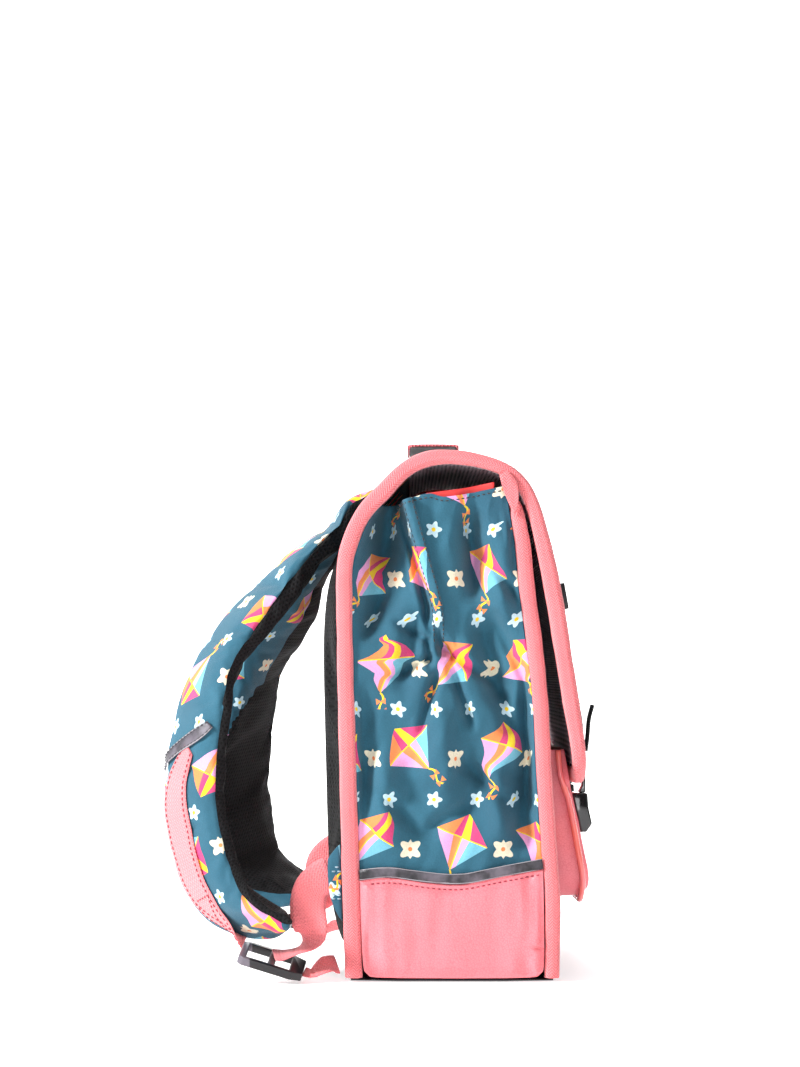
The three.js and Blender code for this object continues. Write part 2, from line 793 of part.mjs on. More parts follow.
// A flat frame with a slot through which the strap runs.
function closureSlider() {
  const z = closureHeight(sliderShare);
  const shape = new THREE.Shape();
  const half = sliderWidth / 2;
  shape.moveTo(-half, 0);
  shape.lineTo(half, 0);
  shape.lineTo(half, sliderThickness);
  shape.lineTo(-half, sliderThickness);
  shape.closePath();
  const slot = new THREE.Path();
  const slotHalf = closureStrapWidth / 2 + gap;
  const low = (sliderThickness - closureStrapThickness) / 2 - gap;
  const high = (sliderThickness + closureStrapThickness) / 2 + gap;
  slot.moveTo(-slotHalf, low);
  slot.lineTo(-slotHalf, high);
  slot.lineTo(slotHalf, high);
  slot.lineTo(slotHalf, low);
  slot.closePath();
  shape.holes.push(slot);
  const geometry = new THREE.ExtrudeGeometry(shape, { depth: sliderHeight, bevelEnabled: false });
  geometry.translate(0, -sliderThickness / 2, -sliderHeight / 2);
  geometry.rotateX(-slopeAt(z));
  const off = along(closureRows, sliderShare);
  geometry.translate(-closureSpacing / 2, along(flapFace, z) - off - closureStrapThickness / 2, z);
  return mergeVertices(geometry.deleteAttribute('normal').deleteAttribute('uv'));
}

function closureRing() {
  const low = ringFoot;
  const high = low + ringHeight;
  const outline = [
    [along(flapSheetOuter, low) - gap, low], [along(flapFace, low) - 3.8, low],
    [along(flapFace, high) - 3.4, high], [along(flapSheetOuter, high) - gap, high],
  ];
  const from = -closureSpacing / 2 - ringWidth / 2;
  return sidePlate(outline, from, from + ringWidth);
}

const tongueTaper = 0.7;
const tongueLip = 7;
const tongueHook = 2.5;
const tongueHookHeight = 5;

function lockTongue() {
  const top = tongueTop;
  const face = along(flapFace, top) - gap;
  const end = along(flapFace, flapEnd) - gap;
  const low = lockTop + gap;
  const outline = [
    [face, top], [face - tongueThickness * tongueTaper, top], [end - tongueThickness, low + tongueLip],
    [end - tongueThickness, low], [end + tongueHook, low], [end, low + tongueHookHeight],
  ];
  const from = -closureSpacing / 2 - tongueWidth / 2;
  return sidePlate(outline, from, from + tongueWidth);
}

// Columns: whether the height is from the lock's bottom (or else down from its top), that height,
// thickness share.
const lockRows = [[true, 0, 0.45], [true, 6, 0.8], [false, 10, 1.0], [false, 0, 0.95]];

function lockBody() {
  const face = (z) => pocketFront(z) - gap;
  const outline = [
    [face(lockBottom), lockBottom],
    ...lockRows.map(([low, up, share]) => {
      const z = low ? lockBottom + up : lockTop - up;
      return [face(low ? lockBottom : lockTop) - lockThickness * share, z];
    }),
    [face(lockTop), lockTop],
  ];
  const from = -closureSpacing / 2 - lockWidth / 2;
  return sidePlate(outline, from, from + lockWidth);
}

addPair('closure_strap', closureRibbon(closureRows), 'plastic');
addPair('closure_tail', closureRibbon(tailRows), 'plastic');
addPair('closure_slider', closureSlider(), 'plastic');
addPair('closure_ring', closureRing(), 'plastic');
addPair('lock_tongue', lockTongue(), 'lock');
addPair('lock', lockBody(), 'lock');

// Shoulder straps

// Columns: x share of half width, y share of the strap's reach behind the body, z share of body height,
// twist in degrees, thickness share. The line is the middle of the strap's outer side. The first row's
// place is the seat on the back sheet, worked out below.
const strapRows = [
  [0.367, -0.2, 0.93, 0, 0.35],
  [0.37, -0.005, 0.904, 0, 0.52],
  [0.43, 0.13, 0.86, 7, 0.7],
  [0.52, 0.29, 0.814, 10, 1.0],
  [0.613, 0.49, 0.744, 15, 1.0],
  [0.693, 0.659, 0.683, 20, 1.0],
  [0.773, 0.843, 0.601, 23, 1.0],
  [0.84, 0.938, 0.513, 30, 1.0],
  [0.907, 0.991, 0.4, 35, 1.0],
  [0.94, 0.99, 0.31, 37, 1.0],
  [0.98, 0.891, 0.202, 37, 1.0],
  [1.0, 0.786, 0.147, 33, 1.0],
  [1.013, 0.653, 0.118, 25, 0.95],
  [1.013, 0.488, 0.098, 16, 0.8],
  [1.007, 0.35, 0.09, 8, 0.45],
];
const strapSteps = 24;
const webbingStart = 0.56;
const webbingLeave = 0.79;
const reflectorSlant = 0.032;
const hangLead = 20;
const hangStart = halfDepth + hangLead;
const hangEase = 40;
const hangFoot = 30;
const hangRise = 90;

// A place behind the left half of the bag, from its shares of half width, strap reach and body height.
function behind([x, y, z]) {
  return new THREE.Vector3(-x * halfWidth, halfDepth + y * strapReach, z * bodyHeight);
}

const strapSeatRow = 9.2;
const strapRootDepth = (strapSeamDepth + strapMeshDepth) * strapRows[0][4];
const strapPoints = strapRows.map(behind);
const strapSeat = longSheet.at(strapSeatRow / (longSheetRows.length - 1));
strapPoints[0] = strapSeat.middle.clone()
  .addScaledVector(strapSeat.normal, sheetThickness / 2 + strapRootDepth + gap)
  .setX(strapPoints[0].x);
const strapCurve = new THREE.CatmullRomCurve3(strapPoints, false, 'centripetal');

function strapFrame(t) {
  const place = t * (strapRows.length - 1);
  const row = Math.min(strapRows.length - 2, Math.floor(place));
  const between = place - row;
  const twist = THREE.MathUtils.degToRad(lerp(strapRows[row][3], strapRows[row + 1][3], between));
  const thickness = lerp(strapRows[row][4], strapRows[row + 1][4], between);
  const onward = strapCurve.getTangent(t);
  const flat = new THREE.Vector3(1, 0, 0).addScaledVector(onward, -onward.x).normalize();
  const away = new THREE.Vector3().crossVectors(flat, onward);
  const side = flat.clone().multiplyScalar(Math.cos(twist)).addScaledVector(away, Math.sin(twist));
  const up = away.clone().multiplyScalar(Math.cos(twist)).addScaledVector(flat, -Math.sin(twist));
  return { point: strapCurve.getPoint(t), onward, side, up, thickness };
}

function inFrame(frame, [a, b]) {
  return frame.point.clone().addScaledVector(frame.side, a).addScaledVector(frame.up, b);
}

function strapPiece(section) {
  const rings = [];
  for (let i = 0; i <= strapSteps; i += 1) {
    const frame = strapFrame(i / strapSteps);
    const seam = strapSeamDepth * frame.thickness;
    rings.push(section.map(([a, b]) => {
      const level = b + strapSeamDepth;
      const height = Math.abs(level) <= gap ? level - seam : b * frame.thickness;
      return inFrame(frame, [a, height]);
    }));
  }
  return loft(rings, section);
}

const strapHalf = strapWidth / 2;
const clothSection = [
  [-strapHalf, -strapSeamDepth + gap], [strapHalf, -strapSeamDepth + gap],
  [strapHalf - 0.5, strapFaceHeight * 0.2], [strapHalf - 7, strapFaceHeight], [-strapHalf + 7, strapFaceHeight],
  [-strapHalf + 0.5, strapFaceHeight * 0.2],
];
const meshSection = [
  [-strapHalf + 0.8, -strapSeamDepth - gap], [strapHalf - 0.8, -strapSeamDepth - gap],
  [strapHalf - 2, -strapSeamDepth - strapMeshDepth * 0.7], [strapHalf - 8, -strapSeamDepth - strapMeshDepth],
  [-strapHalf + 8, -strapSeamDepth - strapMeshDepth], [-strapHalf + 2, -strapSeamDepth - strapMeshDepth * 0.7],
];

// The right strap hangs a little closer to the back than the left one, between its two ends.
function closer(geometry) {
  const moved = geometry.clone();
  const p = moved.getAttribute('position');
  for (let i = 0; i < p.count; i += 1) {
    const behindBack = smooth((p.getY(i) - hangStart) / hangEase);
    const aboveBuckle = smooth((p.getZ(i) - hangFoot) / hangRise);
    const belowRoot = smooth((strapPoints[0].z - p.getZ(i)) / hangRise);
    p.setY(i, p.getY(i) - strapHang * behindBack * aboveBuckle * belowRoot);
  }
  return moved;
}

function addStrapPair(name, geometry, finish) {
  addMesh(`${name}_left`, geometry, finish);
  addMesh(`${name}_right`, mirrored(closer(geometry)), finish);
}

addStrapPair('shoulder_strap', strapPiece(clothSection), 'cloth');
addStrapPair('strap_mesh', strapPiece(meshSection), 'mesh');

// The buckle lies below the strap's end, sloping down towards the bag.
const buckleAngle = THREE.MathUtils.degToRad(17);
const buckleTwist = THREE.MathUtils.degToRad(-12);
const buckleHalfRise = buckleLength / 2 * Math.sin(buckleAngle) - buckleWidth / 2 * Math.sin(buckleTwist);
const buckleCentre = new THREE.Vector3(
  -0.985 * halfWidth,
  halfDepth + 0.455 * strapReach,
  buckleRest + buckleHalfRise + buckleThickness / 2 * Math.cos(buckleAngle),
);

function buckleTurn(geometry) {
  geometry.rotateY(buckleTwist);
  geometry.rotateX(buckleAngle);
  geometry.translate(buckleCentre.x, buckleCentre.y, buckleCentre.z);
  return geometry;
}

// A frame with two slots. Its bars are across the webbing.
function ladderLock() {
  const halfLong = buckleLength / 2;
  const halfWide = buckleWidth / 2;
  const shape = new THREE.Shape();
  shape.moveTo(-halfWide + 4, -halfLong);
  shape.lineTo(halfWide - 4, -halfLong);
  shape.lineTo(halfWide, -halfLong + 8);
  shape.lineTo(halfWide, halfLong - 3);
  shape.lineTo(halfWide - 3, halfLong);
  shape.lineTo(-halfWide + 3, halfLong);
  shape.lineTo(-halfWide, halfLong - 3);
  shape.lineTo(-halfWide, -halfLong + 8);
  shape.closePath();
  const slotHalf = halfWide - buckleBar * 0.8;
  const barCentres = [-halfLong + buckleBar, 0, halfLong - buckleBar / 2];
  for (let i = 0; i + 1 < barCentres.length; i += 1) {
    const from = barCentres[i] + (i === 0 ? buckleBar : buckleBar / 2);
    const to = barCentres[i + 1] - buckleBar / 2;
    const slot = new THREE.Path();
    slot.moveTo(-slotHalf, from);
    slot.lineTo(-slotHalf, to);
    slot.lineTo(slotHalf, to);
    slot.lineTo(slotHalf, from);
    slot.closePath();
    shape.holes.push(slot);
  }
  const geometry = new THREE.ExtrudeGeometry(shape, { depth: buckleThickness, bevelEnabled: false });
  geometry.translate(0, 0, -buckleThickness / 2);
  return mergeVertices(buckleTurn(geometry).deleteAttribute('normal').deleteAttribute('uv'));
}

addPair('ladder_lock', ladderLock(), 'plastic');

// A point in the buckle's own frame: across, along (towards the strap is positive) and up.
function onBuckle(across, onward, up) {
  return new THREE.Vector3(across, onward, up)
    .applyAxisAngle(new THREE.Vector3(0, 1, 0), buckleTwist)
    .applyAxisAngle(new THREE.Vector3(1, 0, 0), buckleAngle)
    .add(buckleCentre);
}

// Webbing sewn on the strap's outer side, which leaves the strap and ends on the buckle's far bar.
const webbingSteps = 9;
const webbingEnd = { clearance: 0.5, narrowing: 0.93, drop: 2, bow: 5, shares: [0.35, 0.7, 1] };
const bowBack = 0.8;
const bowDown = 0.6;
function strapWebbing() {
  const lift = strapFaceHeight + gap;
  const section = flatSection(strapWebbingWidth, webbingThickness);
  const rings = [];
  for (let i = 0; i <= webbingSteps; i += 1) {
    const t = lerp(webbingStart, webbingLeave, i / webbingSteps);
    const slanted = Math.max(0, 1 - i / 3) * reflectorSlant / strapHalf;
    rings.push(section.map(([a, b]) => (
      inFrame(strapFrame(t + slanted * a), [a + strapWebbingOffset, b + lift])
    )));
  }
  const last = rings[rings.length - 1];
  const seat = buckleThickness / 2 + gap;
  const beyond = buckleLength / 2 + gap + webbingEnd.clearance;
  const end = section.map(([a, b]) => onBuckle(a * webbingEnd.narrowing, beyond, seat - webbingEnd.drop + b));
  for (const share of webbingEnd.shares) {
    rings.push(last.map((p, i) => {
      const bow = webbingEnd.bow * Math.sin(share * Math.PI);
      return p.clone().lerp(end[i], share).add(new THREE.Vector3(0, bow * bowBack, -bow * bowDown));
    }));
  }
  return loft(rings, section);
}

// A band across the strap at the webbing's upper end, slanting down towards the middle of the back.
function strapReflector() {
  const lift = strapFaceHeight + 2 * gap;
  const columns = 8;
  const span = strapReflectorHeight / strapCurve.getLength();
  const centre = webbingStart - span;
  const faces = [0, 1].map((layer) => [0, 1].map((row) => {
    const line = [];
    for (let j = 0; j <= columns; j += 1) {
      const across = lerp(-1, 1, j / columns);
      const t = centre + reflectorSlant * (across - strapWebbingOffset / strapHalf) + span * (row - 0.5);
      const a = across * (strapHalf - 1.2);
      const drop = Math.max(0, Math.abs(a) - (strapHalf - 7)) * 0.5;
      line.push(inFrame(strapFrame(t), [a, lift - drop + layer * reflectiveThickness]));
    }
    return line;
  }));
  return slab(faces[1], faces[0]);
}

addStrapPair('strap_webbing', strapWebbing(), 'tape');
addStrapPair('strap_reflector', strapReflector(), 'reflective');

// Cloth tab out of the bag's lower back corner, and the adjusting webbing from it to the buckle

const tabMiddle = 68;
const tabLevel = halfWidth - 7;
const bindingOuter = (z) => along(backBindingOuter, z) + gap;

function sideTab() {
  const low = tabMiddle - tabHeight / 2;
  const high = tabMiddle + tabHeight / 2;
  const edge = bindingOuter(tabMiddle) + tabReach;
  const outline = [
    [bindingOuter(low), low], [bindingOuter(high), high], [edge, high - tabCorner], [edge, low + 1.6 * tabCorner],
  ];
  return sidePlate(outline, -tabLevel - tabThickness / 2, -tabLevel + tabThickness / 2);
}

addPair('side_tab', sideTab(), 'cloth');

// Columns: x share of half width, y share of the strap's reach, z share of body height, and the
// direction of the webbing's width (x, y, z). The first row's x and y are behind the tab, and the last
// row is the buckle's middle bar; both are worked out below.
const adjustRows = [
  [0.936, 0.07, 0.2, 0, 0.45, 0.9],
  [0.936, 0.14, 0.191, 0, 0.5, 0.87],
  [0.938, 0.205, 0.172, 0, 0.72, 0.7],
  [0.955, 0.23, 0.145, 0, 0.9, 0.42],
  [0.975, 0.225, 0.12, 0.1, 0.98, 0.1],
  [0.985, 0.21, 0.1, 0.3, 0.93, -0.15],
  [0.985, 0.21, 0.082, 0.6, 0.76, -0.2],
  [0.985, 0.255, 0.064, 0.85, 0.45, -0.12],
  [0.985, 0.38, 0.05, 1, 0.05, 0],
  [0.985, 0.45, 0.045, 1, 0, 0],
];
const adjustSteps = 26;
const webbingTuck = 7;

const buckleAcross = onBuckle(1, 0, 0).sub(onBuckle(0, 0, 0));
const widthOf = (row) => new THREE.Vector3(...row.slice(3, 6));

function ribbon(points, widths, width, thickness, steps) {
  const centre = new THREE.CatmullRomCurve3(points, false, 'centripetal');
  const section = flatSection(width, thickness).map(([a, b]) => [a, b - thickness / 2]);
  const rings = [];
  for (let i = 0; i <= steps; i += 1) {
    const t = i / steps;
    const place = t * (points.length - 1);
    const row = Math.min(points.length - 2, Math.floor(place));
    const onward = centre.getTangent(t);
    const wide = widths[row].clone().lerp(widths[row + 1], place - row);
    const side = wide.addScaledVector(onward, -wide.dot(onward)).normalize();
    const up = new THREE.Vector3().crossVectors(side, onward);
    rings.push(section.map((corner) => inFrame({ point: centre.getPoint(t), side, up }, corner)));
  }
  return loft(rings, section);
}

function adjustWebbing() {
  const points = adjustRows.map(behind);
  const widths = adjustRows.map(widthOf);
  points[0].setX(-(tabLevel - tabThickness / 2 - gap - webbingThickness / 2));
  points[0].setY(bindingOuter(tabMiddle) + webbingTuck);
  points[points.length - 1] = onBuckle(0, 0, buckleThickness / 2 + webbingThickness + gap);
  widths[widths.length - 1] = buckleAcross;
  widths[widths.length - 2] = buckleAcross;
  return ribbon(points, widths, adjustWebbingWidth, webbingThickness, adjustSteps);
}

// The webbing's free end, which lies near the floor between the buckle and the bag's corner. Same
// columns; the first row is the buckle's near end.
const tailLead = 6;
const tailEndRows = [
  [0.985, 0.258, 0.014, 1, 0, 0],
  [0.985, 0.2, 0.012, 1, 0, 0],
  [0.97, 0.15, 0.022, 0.95, 0.1, 0.3],
  [0.945, 0.1, 0.03, 0.8, 0.2, 0.5],
  [0.93, 0.045, 0.03, 0.8, 0.1, 0.5],
];

function adjustTail() {
  const points = tailEndRows.map(behind);
  const widths = tailEndRows.map(widthOf);
  points[0] = onBuckle(0, -buckleLength / 2 - gap, 0);
  points[1] = onBuckle(0, -buckleLength / 2 - tailLead, gap);
  widths[0] = buckleAcross;
  widths[1] = buckleAcross;
  return ribbon(points, widths, adjustWebbingWidth * 0.8, webbingThickness, 8);
}

addPair('adjust_webbing', adjustWebbing(), 'tape');
addPair('adjust_tail', adjustTail(), 'tape');

// Carry handle on top

const handleY = 0.15 * halfDepth;
const topFace = (() => {
  const row = 12.2 / (longSheetRows.length - 1);
  const s = longSheet.at(row);
  return s.middle.clone().addScaledVector(s.normal, sheetThickness / 2).z + 0.8;
})();

// Columns: share of the half span, share of the rise. The handle's left half, from its foot inward.
const handleRows = [[0.86, 0.32], [0.66, 0.86], [0.33, 1.0], [0, 1.02]];

function handleLine(halfSpan, foot) {
  const arch = handleRows.map(([x, z]) => [-halfSpan * x, z * handleRise]);
  const points = [[-halfSpan - foot, 0], [-halfSpan - foot * 0.3, gap], ...arch];
  const all = [...points, ...points.slice(0, -1).map(([x, z]) => [-x, z]).reverse()];
  const curve = new THREE.CatmullRomCurve3(all.map(([x, z]) => new THREE.Vector3(x, handleY, topFace + z)));
  return curve.getPoints(24);
}

function handleStrap() {
  const section = flatSection(handleWidth, handleThickness);
  const rings = ringsAlong(handleLine(handleSpan / 2, handleFoot), section, () => new THREE.Vector3(0, 0, 1));
  return loft(rings, section);
}

// The grip's cover: an open sleeve over the top and the sides of the strap.
function handleCover() {
  const w = handleWidth / 2 + gap;
  const wall = handleCoverWall;
  const section = [
    [-w, 0], [-w, handleThickness + gap], [w, handleThickness + gap], [w, 0], [w + wall, 0],
    [w + wall, handleThickness + gap + wall * 0.4], [w, handleThickness + gap + wall],
    [-w, handleThickness + gap + wall], [-w - wall, handleThickness + gap + wall * 0.4], [-w - wall, 0],
  ];
  const points = handleLine(handleSpan / 2, handleFoot).filter((p) => Math.abs(p.x) <= handleCoverSpan / 2);
  return loft(ringsAlong(points, section, () => new THREE.Vector3(0, 0, 1)), section);
}

addMesh('carry_handle', handleStrap(), 'plastic');
addMesh('handle_cover', handleCover(), 'tape');

export default bag;
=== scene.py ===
import math

import bmesh
import bpy
import numpy as np
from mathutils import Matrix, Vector, noise
from mathutils.bvhtree import BVHTree


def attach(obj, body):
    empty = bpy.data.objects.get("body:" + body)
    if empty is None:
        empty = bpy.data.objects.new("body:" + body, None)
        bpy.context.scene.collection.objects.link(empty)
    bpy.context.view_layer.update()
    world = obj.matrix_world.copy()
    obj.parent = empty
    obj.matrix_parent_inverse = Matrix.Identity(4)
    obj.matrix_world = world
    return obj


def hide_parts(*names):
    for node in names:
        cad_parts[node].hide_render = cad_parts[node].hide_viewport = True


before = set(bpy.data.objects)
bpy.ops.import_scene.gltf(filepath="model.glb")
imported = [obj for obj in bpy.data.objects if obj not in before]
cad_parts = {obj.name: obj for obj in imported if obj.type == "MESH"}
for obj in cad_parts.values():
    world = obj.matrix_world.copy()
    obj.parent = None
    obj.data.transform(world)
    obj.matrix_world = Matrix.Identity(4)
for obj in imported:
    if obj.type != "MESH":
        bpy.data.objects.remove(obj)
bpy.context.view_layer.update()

MM = 0.001
WELD = 0.01 * MM
LEFT_AND_RIGHT = (("left", -1), ("right", 1))

# Camera, light and floor

CAMERA_PLACE = (-2.0, 0.036, 0.215)
CAMERA_PITCH = 3.0
CAMERA_LENS = 89.2
WORLD_LIGHT = 0.12
FLOOR_SIZE = 12.0
FLOOR_GLOW = 0.5
BACKDROP_PLACE = 2.7
BACKDROP_HALF = 4.0
BACKDROP_HEIGHT = 3.6
BACKDROP_GLOW = 1.0
# Name, place, what it points at, size, watts
LIGHTS = [
    ("key", (-1.7, 3.4, 2.1), (0, 0, 0.2), 0.8, 300),
    ("front", (-1.5, -1.6, 0.8), (0, 0, 0.2), 1.2, 7),
    ("top", (-0.2, 0.1, 2.2), (0, 0, 0.2), 1.2, 14),
    ("far_side", (1.7, 0.4, 1.3), (0, 0, 0.2), 1.4, 18),
    ("low", (-1.4, 0.1, 0.05), (0, 0, 0.36), 0.5, 4),
]

# Colours, linear


def linear(red, green, blue):
    """A colour given as 0 to 255 steps of a screen, made linear."""
    steps = [c / 255 for c in (red, green, blue)]
    return tuple(c / 12.92 if c <= 0.04045 else ((c + 0.055) / 1.055) ** 2.4 for c in steps) + (1,)


TEAL = linear(38, 98, 120)
TEAL_DARK = linear(28, 84, 106)
ORANGE = linear(244, 140, 78)
MAGENTA = linear(216, 66, 122)
YELLOW = linear(250, 212, 40)
SKY = linear(112, 184, 206)
LILAC = linear(236, 164, 214)
CREAM = linear(238, 230, 204)
ICE = linear(200, 230, 242)
CORAL = linear(250, 131, 135)
# CORAL_DARK is painted shade in the grooves of the tape and the hollows of the webbing, and a random darker
# tone on the piping.
CORAL_DARK = linear(236, 112, 120)
LEATHER = linear(246, 128, 137)
# LEATHER_DARK is painted shade in the pores of the leather.
LEATHER_DARK = linear(230, 109, 120)
PIPING = linear(240, 110, 98)
BLACK = linear(24, 24, 27)
BLACK_SOFT = linear(32, 32, 36)
# Painted light: the lining's own aubergine grey, painted much paler to stand in for the light that hardly
# reaches under the flap.
PALE_LINING_PAINTED_LIGHT = linear(222, 206, 214)
RED = linear(236, 62, 60)
# SILVER is the reflective tape's own grey, and also the painted highlight on the buckle's rear bar.
SILVER = linear(104, 98, 108)
# SILVER_LIGHT is only the painted highlight along the reflective tape's edges.
SILVER_LIGHT = linear(160, 156, 162)
GUNMETAL = linear(46, 46, 50)
STITCH_RED = linear(160, 40, 62)
PALE_BLUE = linear(168, 200, 214)


# Node graphs for the materials


class Field:
    """A value in a material's graph, with arithmetic that adds Math nodes."""

    def __init__(self, graph, socket):
        self.graph = graph
        self.socket = socket

    def __add__(self, other):
        return self.graph.math("ADD", self, other)

    def __sub__(self, other):
        return self.graph.math("SUBTRACT", self, other)

    def __mul__(self, other):
        return self.graph.math("MULTIPLY", self, other)

    def __truediv__(self, other):
        return self.graph.math("DIVIDE", self, other)

    def below(self, other):
        return self.graph.math("LESS_THAN", self, other)

    def above(self, other):
        return self.graph.math("GREATER_THAN", self, other)

    def size(self):
        return self.graph.math("ABSOLUTE", self, 0)

    def floor(self):
        return self.graph.math("FLOOR", self, 0)

    def nearest(self):
        return self.graph.math("ROUND", self, 0)

    def at_least(self, other):
        return self.graph.math("MAXIMUM", self, other)

    def at_most(self, other):
        return self.graph.math("MINIMUM", self, other)

    def sine(self):
        return self.graph.math("SINE", self, 0)

    def cosine(self):
        return self.graph.math("COSINE", self, 0)


class Graph:
    """One material and its nodes."""

    def __init__(self, name, roughness, **shader):
        self.material = bpy.data.materials.new(name)
        self.material.use_nodes = True
        self.tree = self.material.node_tree
        self.shader = self.tree.nodes["Principled BSDF"]
        self.shader.inputs["Roughness"].default_value = roughness
        for socket, value in shader.items():
            self.shader.inputs[socket.replace("_", " ")].default_value = value

    def node(self, kind, **settings):
        made = self.tree.nodes.new(kind)
        for key, value in settings.items():
            setattr(made, key, value)
        return made

    def feed(self, value, socket):
        if isinstance(value, Field):
            self.tree.links.new(value.socket, socket)
        else:
            socket.default_value = value

    def math(self, operation, first, second):
        made = self.node("ShaderNodeMath", operation=operation)
        self.feed(first, made.inputs[0])
        self.feed(second, made.inputs[1])
        return Field(self, made.outputs[0])

    def mix(self, share, low, high):
        """The colour low where share is 0 and high where it is 1."""
        made = self.node("ShaderNodeMix", data_type="RGBA")
        self.feed(share, made.inputs["Factor"])
        self.feed(low, made.inputs[6])
        self.feed(high, made.inputs[7])
        return Field(self, made.outputs[2])

    def surface(self):
        """The two surface coordinates, in metres."""
        made = self.node("ShaderNodeTexCoord")
        parts = self.node("ShaderNodeSeparateXYZ")
        self.tree.links.new(made.outputs["UV"], parts.inputs[0])
        return Field(self, parts.outputs[0]), Field(self, parts.outputs[1])

    def place(self):
        """The place in the bag's own frame, in metres."""
        return Field(self, self.node("ShaderNodeTexCoord").outputs["Object"])

    def joined(self, x, y, z=0.0):
        made = self.node("ShaderNodeCombineXYZ")
        for value, socket in zip((x, y, z), made.inputs):
            self.feed(value, socket)
        return Field(self, made.outputs[0])

    def grain(self, scale, detail=3.0, at=None):
        made = self.node("ShaderNodeTexNoise")
        made.inputs["Scale"].default_value = scale
        made.inputs["Detail"].default_value = detail
        self.feed(at or self.place(), made.inputs["Vector"])
        return Field(self, made.outputs[0])

    def cells(self, scale, feature="F1", randomness=1.0, at=None):
        made = self.node("ShaderNodeTexVoronoi", feature=feature)
        made.inputs["Scale"].default_value = scale
        made.inputs["Randomness"].default_value = randomness
        self.feed(at or self.place(), made.inputs["Vector"])
        return Field(self, made.outputs["Distance"])

    def chance(self, column, row):
        """Three values from 0 to 1 that belong to one cell of a grid."""
        made = self.node("ShaderNodeTexWhiteNoise", noise_dimensions="2D")
        self.tree.links.new(self.joined(column, row).socket, made.inputs["Vector"])
        parts = self.node("ShaderNodeSeparateColor")
        self.tree.links.new(made.outputs["Color"], parts.inputs[0])
        return [Field(self, socket) for socket in parts.outputs]

    def step(self, value, low, high):
        """0 below low and 1 above high, smooth between."""
        made = self.node("ShaderNodeMapRange", interpolation_type="SMOOTHSTEP")
        self.feed(value, made.inputs["Value"])
        self.feed(low, made.inputs["From Min"])
        self.feed(high, made.inputs["From Max"])
        return Field(self, made.outputs["Result"])

    def colour(self, value):
        self.feed(value, self.shader.inputs["Base Color"])

    def relief(self, height, depth, strength=1.0):
        """Bump of the given depth in metres, on top of any bump that is there."""
        made = self.node("ShaderNodeBump")
        made.inputs["Distance"].default_value = depth
        made.inputs["Strength"].default_value = strength
        self.feed(height, made.inputs["Height"])
        normal = self.shader.inputs["Normal"]
        if normal.is_linked:
            self.tree.links.new(normal.links[0].from_socket, made.inputs["Normal"])
        self.tree.links.new(made.outputs[0], normal)


# The print: paper kites and small blossoms on teal

KITE_CELL_WIDE = 66 * MM
KITE_CELL_TALL = 63 * MM
KITE_HALF = 19.5 * MM
KITE_TOP = 17 * MM
KITE_FOOT = 24 * MM
KITE_RAISE = 6 * MM
KITE_TURN = 1.7
KITE_JITTER = 9 * MM
KITE_SPAR = 0.45 * MM
TAIL_LENGTH = 15 * MM
TAIL_WIDTH = 0.75 * MM
TAIL_SWING = 1.8 * MM
TAIL_WAVE = 420
BOW_HALF = 3.4 * MM
BOW_SHARES = (0.4, 0.85)
BLOSSOM_LARGE = 8.4 * MM
BLOSSOM_SMALL = 6.0 * MM
BLOSSOM_EYE = 1.5 * MM


def blossom(g, base, x, y, radius, petals, eye):
    """Five petals and an eye round the place where x and y are 0, over the colour base."""
    distance = g.math("SQRT", x * x + y * y, 0)
    angle = g.math("ARCTAN2", y, x)
    reach = ((angle * 5).cosine() * 0.2 + 0.8) * radius
    base = g.mix(distance.below(reach), base, petals)
    return g.mix(distance.below(BLOSSOM_EYE), base, eye)


def kite_print(g):
    u, v = g.surface()
    row = (v / KITE_CELL_TALL).floor()
    across = u / KITE_CELL_WIDE + row * 0.5
    column = across.floor()
    first, second, third = g.chance(column, row)
    x_cell = (across - column - 0.5) * KITE_CELL_WIDE
    y_cell = (v / KITE_CELL_TALL - row - 0.5) * KITE_CELL_TALL
    x = x_cell - (first - 0.5) * KITE_JITTER
    y = y_cell - (second - 0.5) * KITE_JITTER
    turn = (third - 0.5) * KITE_TURN
    kite_x = x * turn.cosine() + y * turn.sine()
    kite_y = y * turn.cosine() - x * turn.sine() - KITE_RAISE

    ground = g.mix(g.step(g.grain(9.0), 0.35, 0.65), TEAL, TEAL_DARK)
    side_x = x_cell.size() - KITE_CELL_WIDE / 2
    colour = blossom(g, ground, side_x, y_cell + 3 * MM, BLOSSOM_LARGE, CREAM, ORANGE)
    half = KITE_CELL_WIDE / 2
    near_x = u / half - 0.5
    near_y = v / KITE_CELL_TALL
    small_x = (near_x - near_x.nearest()) * half
    small_y = (near_y - near_y.nearest()) * KITE_CELL_TALL
    colour = blossom(g, colour, small_x, small_y, BLOSSOM_SMALL, ICE, YELLOW)

    down = (kite_y + KITE_FOOT) * -1
    tail = (kite_x - (down * TAIL_WAVE).sine() * TAIL_SWING).size().below(TAIL_WIDTH)
    tail = tail * down.above(0) * down.below(TAIL_LENGTH)
    colour = g.mix(tail, colour, YELLOW)
    for share in BOW_SHARES:
        bow_y = (down - TAIL_LENGTH * share).size()
        bow = bow_y.below(kite_x.size() * 0.6 + 0.2 * MM) * kite_x.size().below(BOW_HALF)
        colour = g.mix(bow, colour, ORANGE)

    rise = kite_y.at_least(0) / KITE_TOP + (kite_y * -1).at_least(0) / KITE_FOOT
    kite = (kite_x.size() / KITE_HALF + rise).below(1)
    right = kite_x.above(0)
    upper = kite_y.above(0)
    tops = g.mix(right, ORANGE, MAGENTA)
    feet = g.mix(right, LILAC, SKY)
    fold = (kite_x.size() / KITE_HALF + rise * 0.2).below(0.32)
    tops = g.mix(fold, tops, g.mix(right, MAGENTA, YELLOW))
    feet = g.mix(fold, feet, g.mix(right, ORANGE, LILAC))
    colour = g.mix(kite, colour, g.mix(upper, feet, tops))
    spar = kite_x.size().at_most(kite_y.size()).below(KITE_SPAR) * kite
    return g.mix(spar, colour, YELLOW)


# Materials


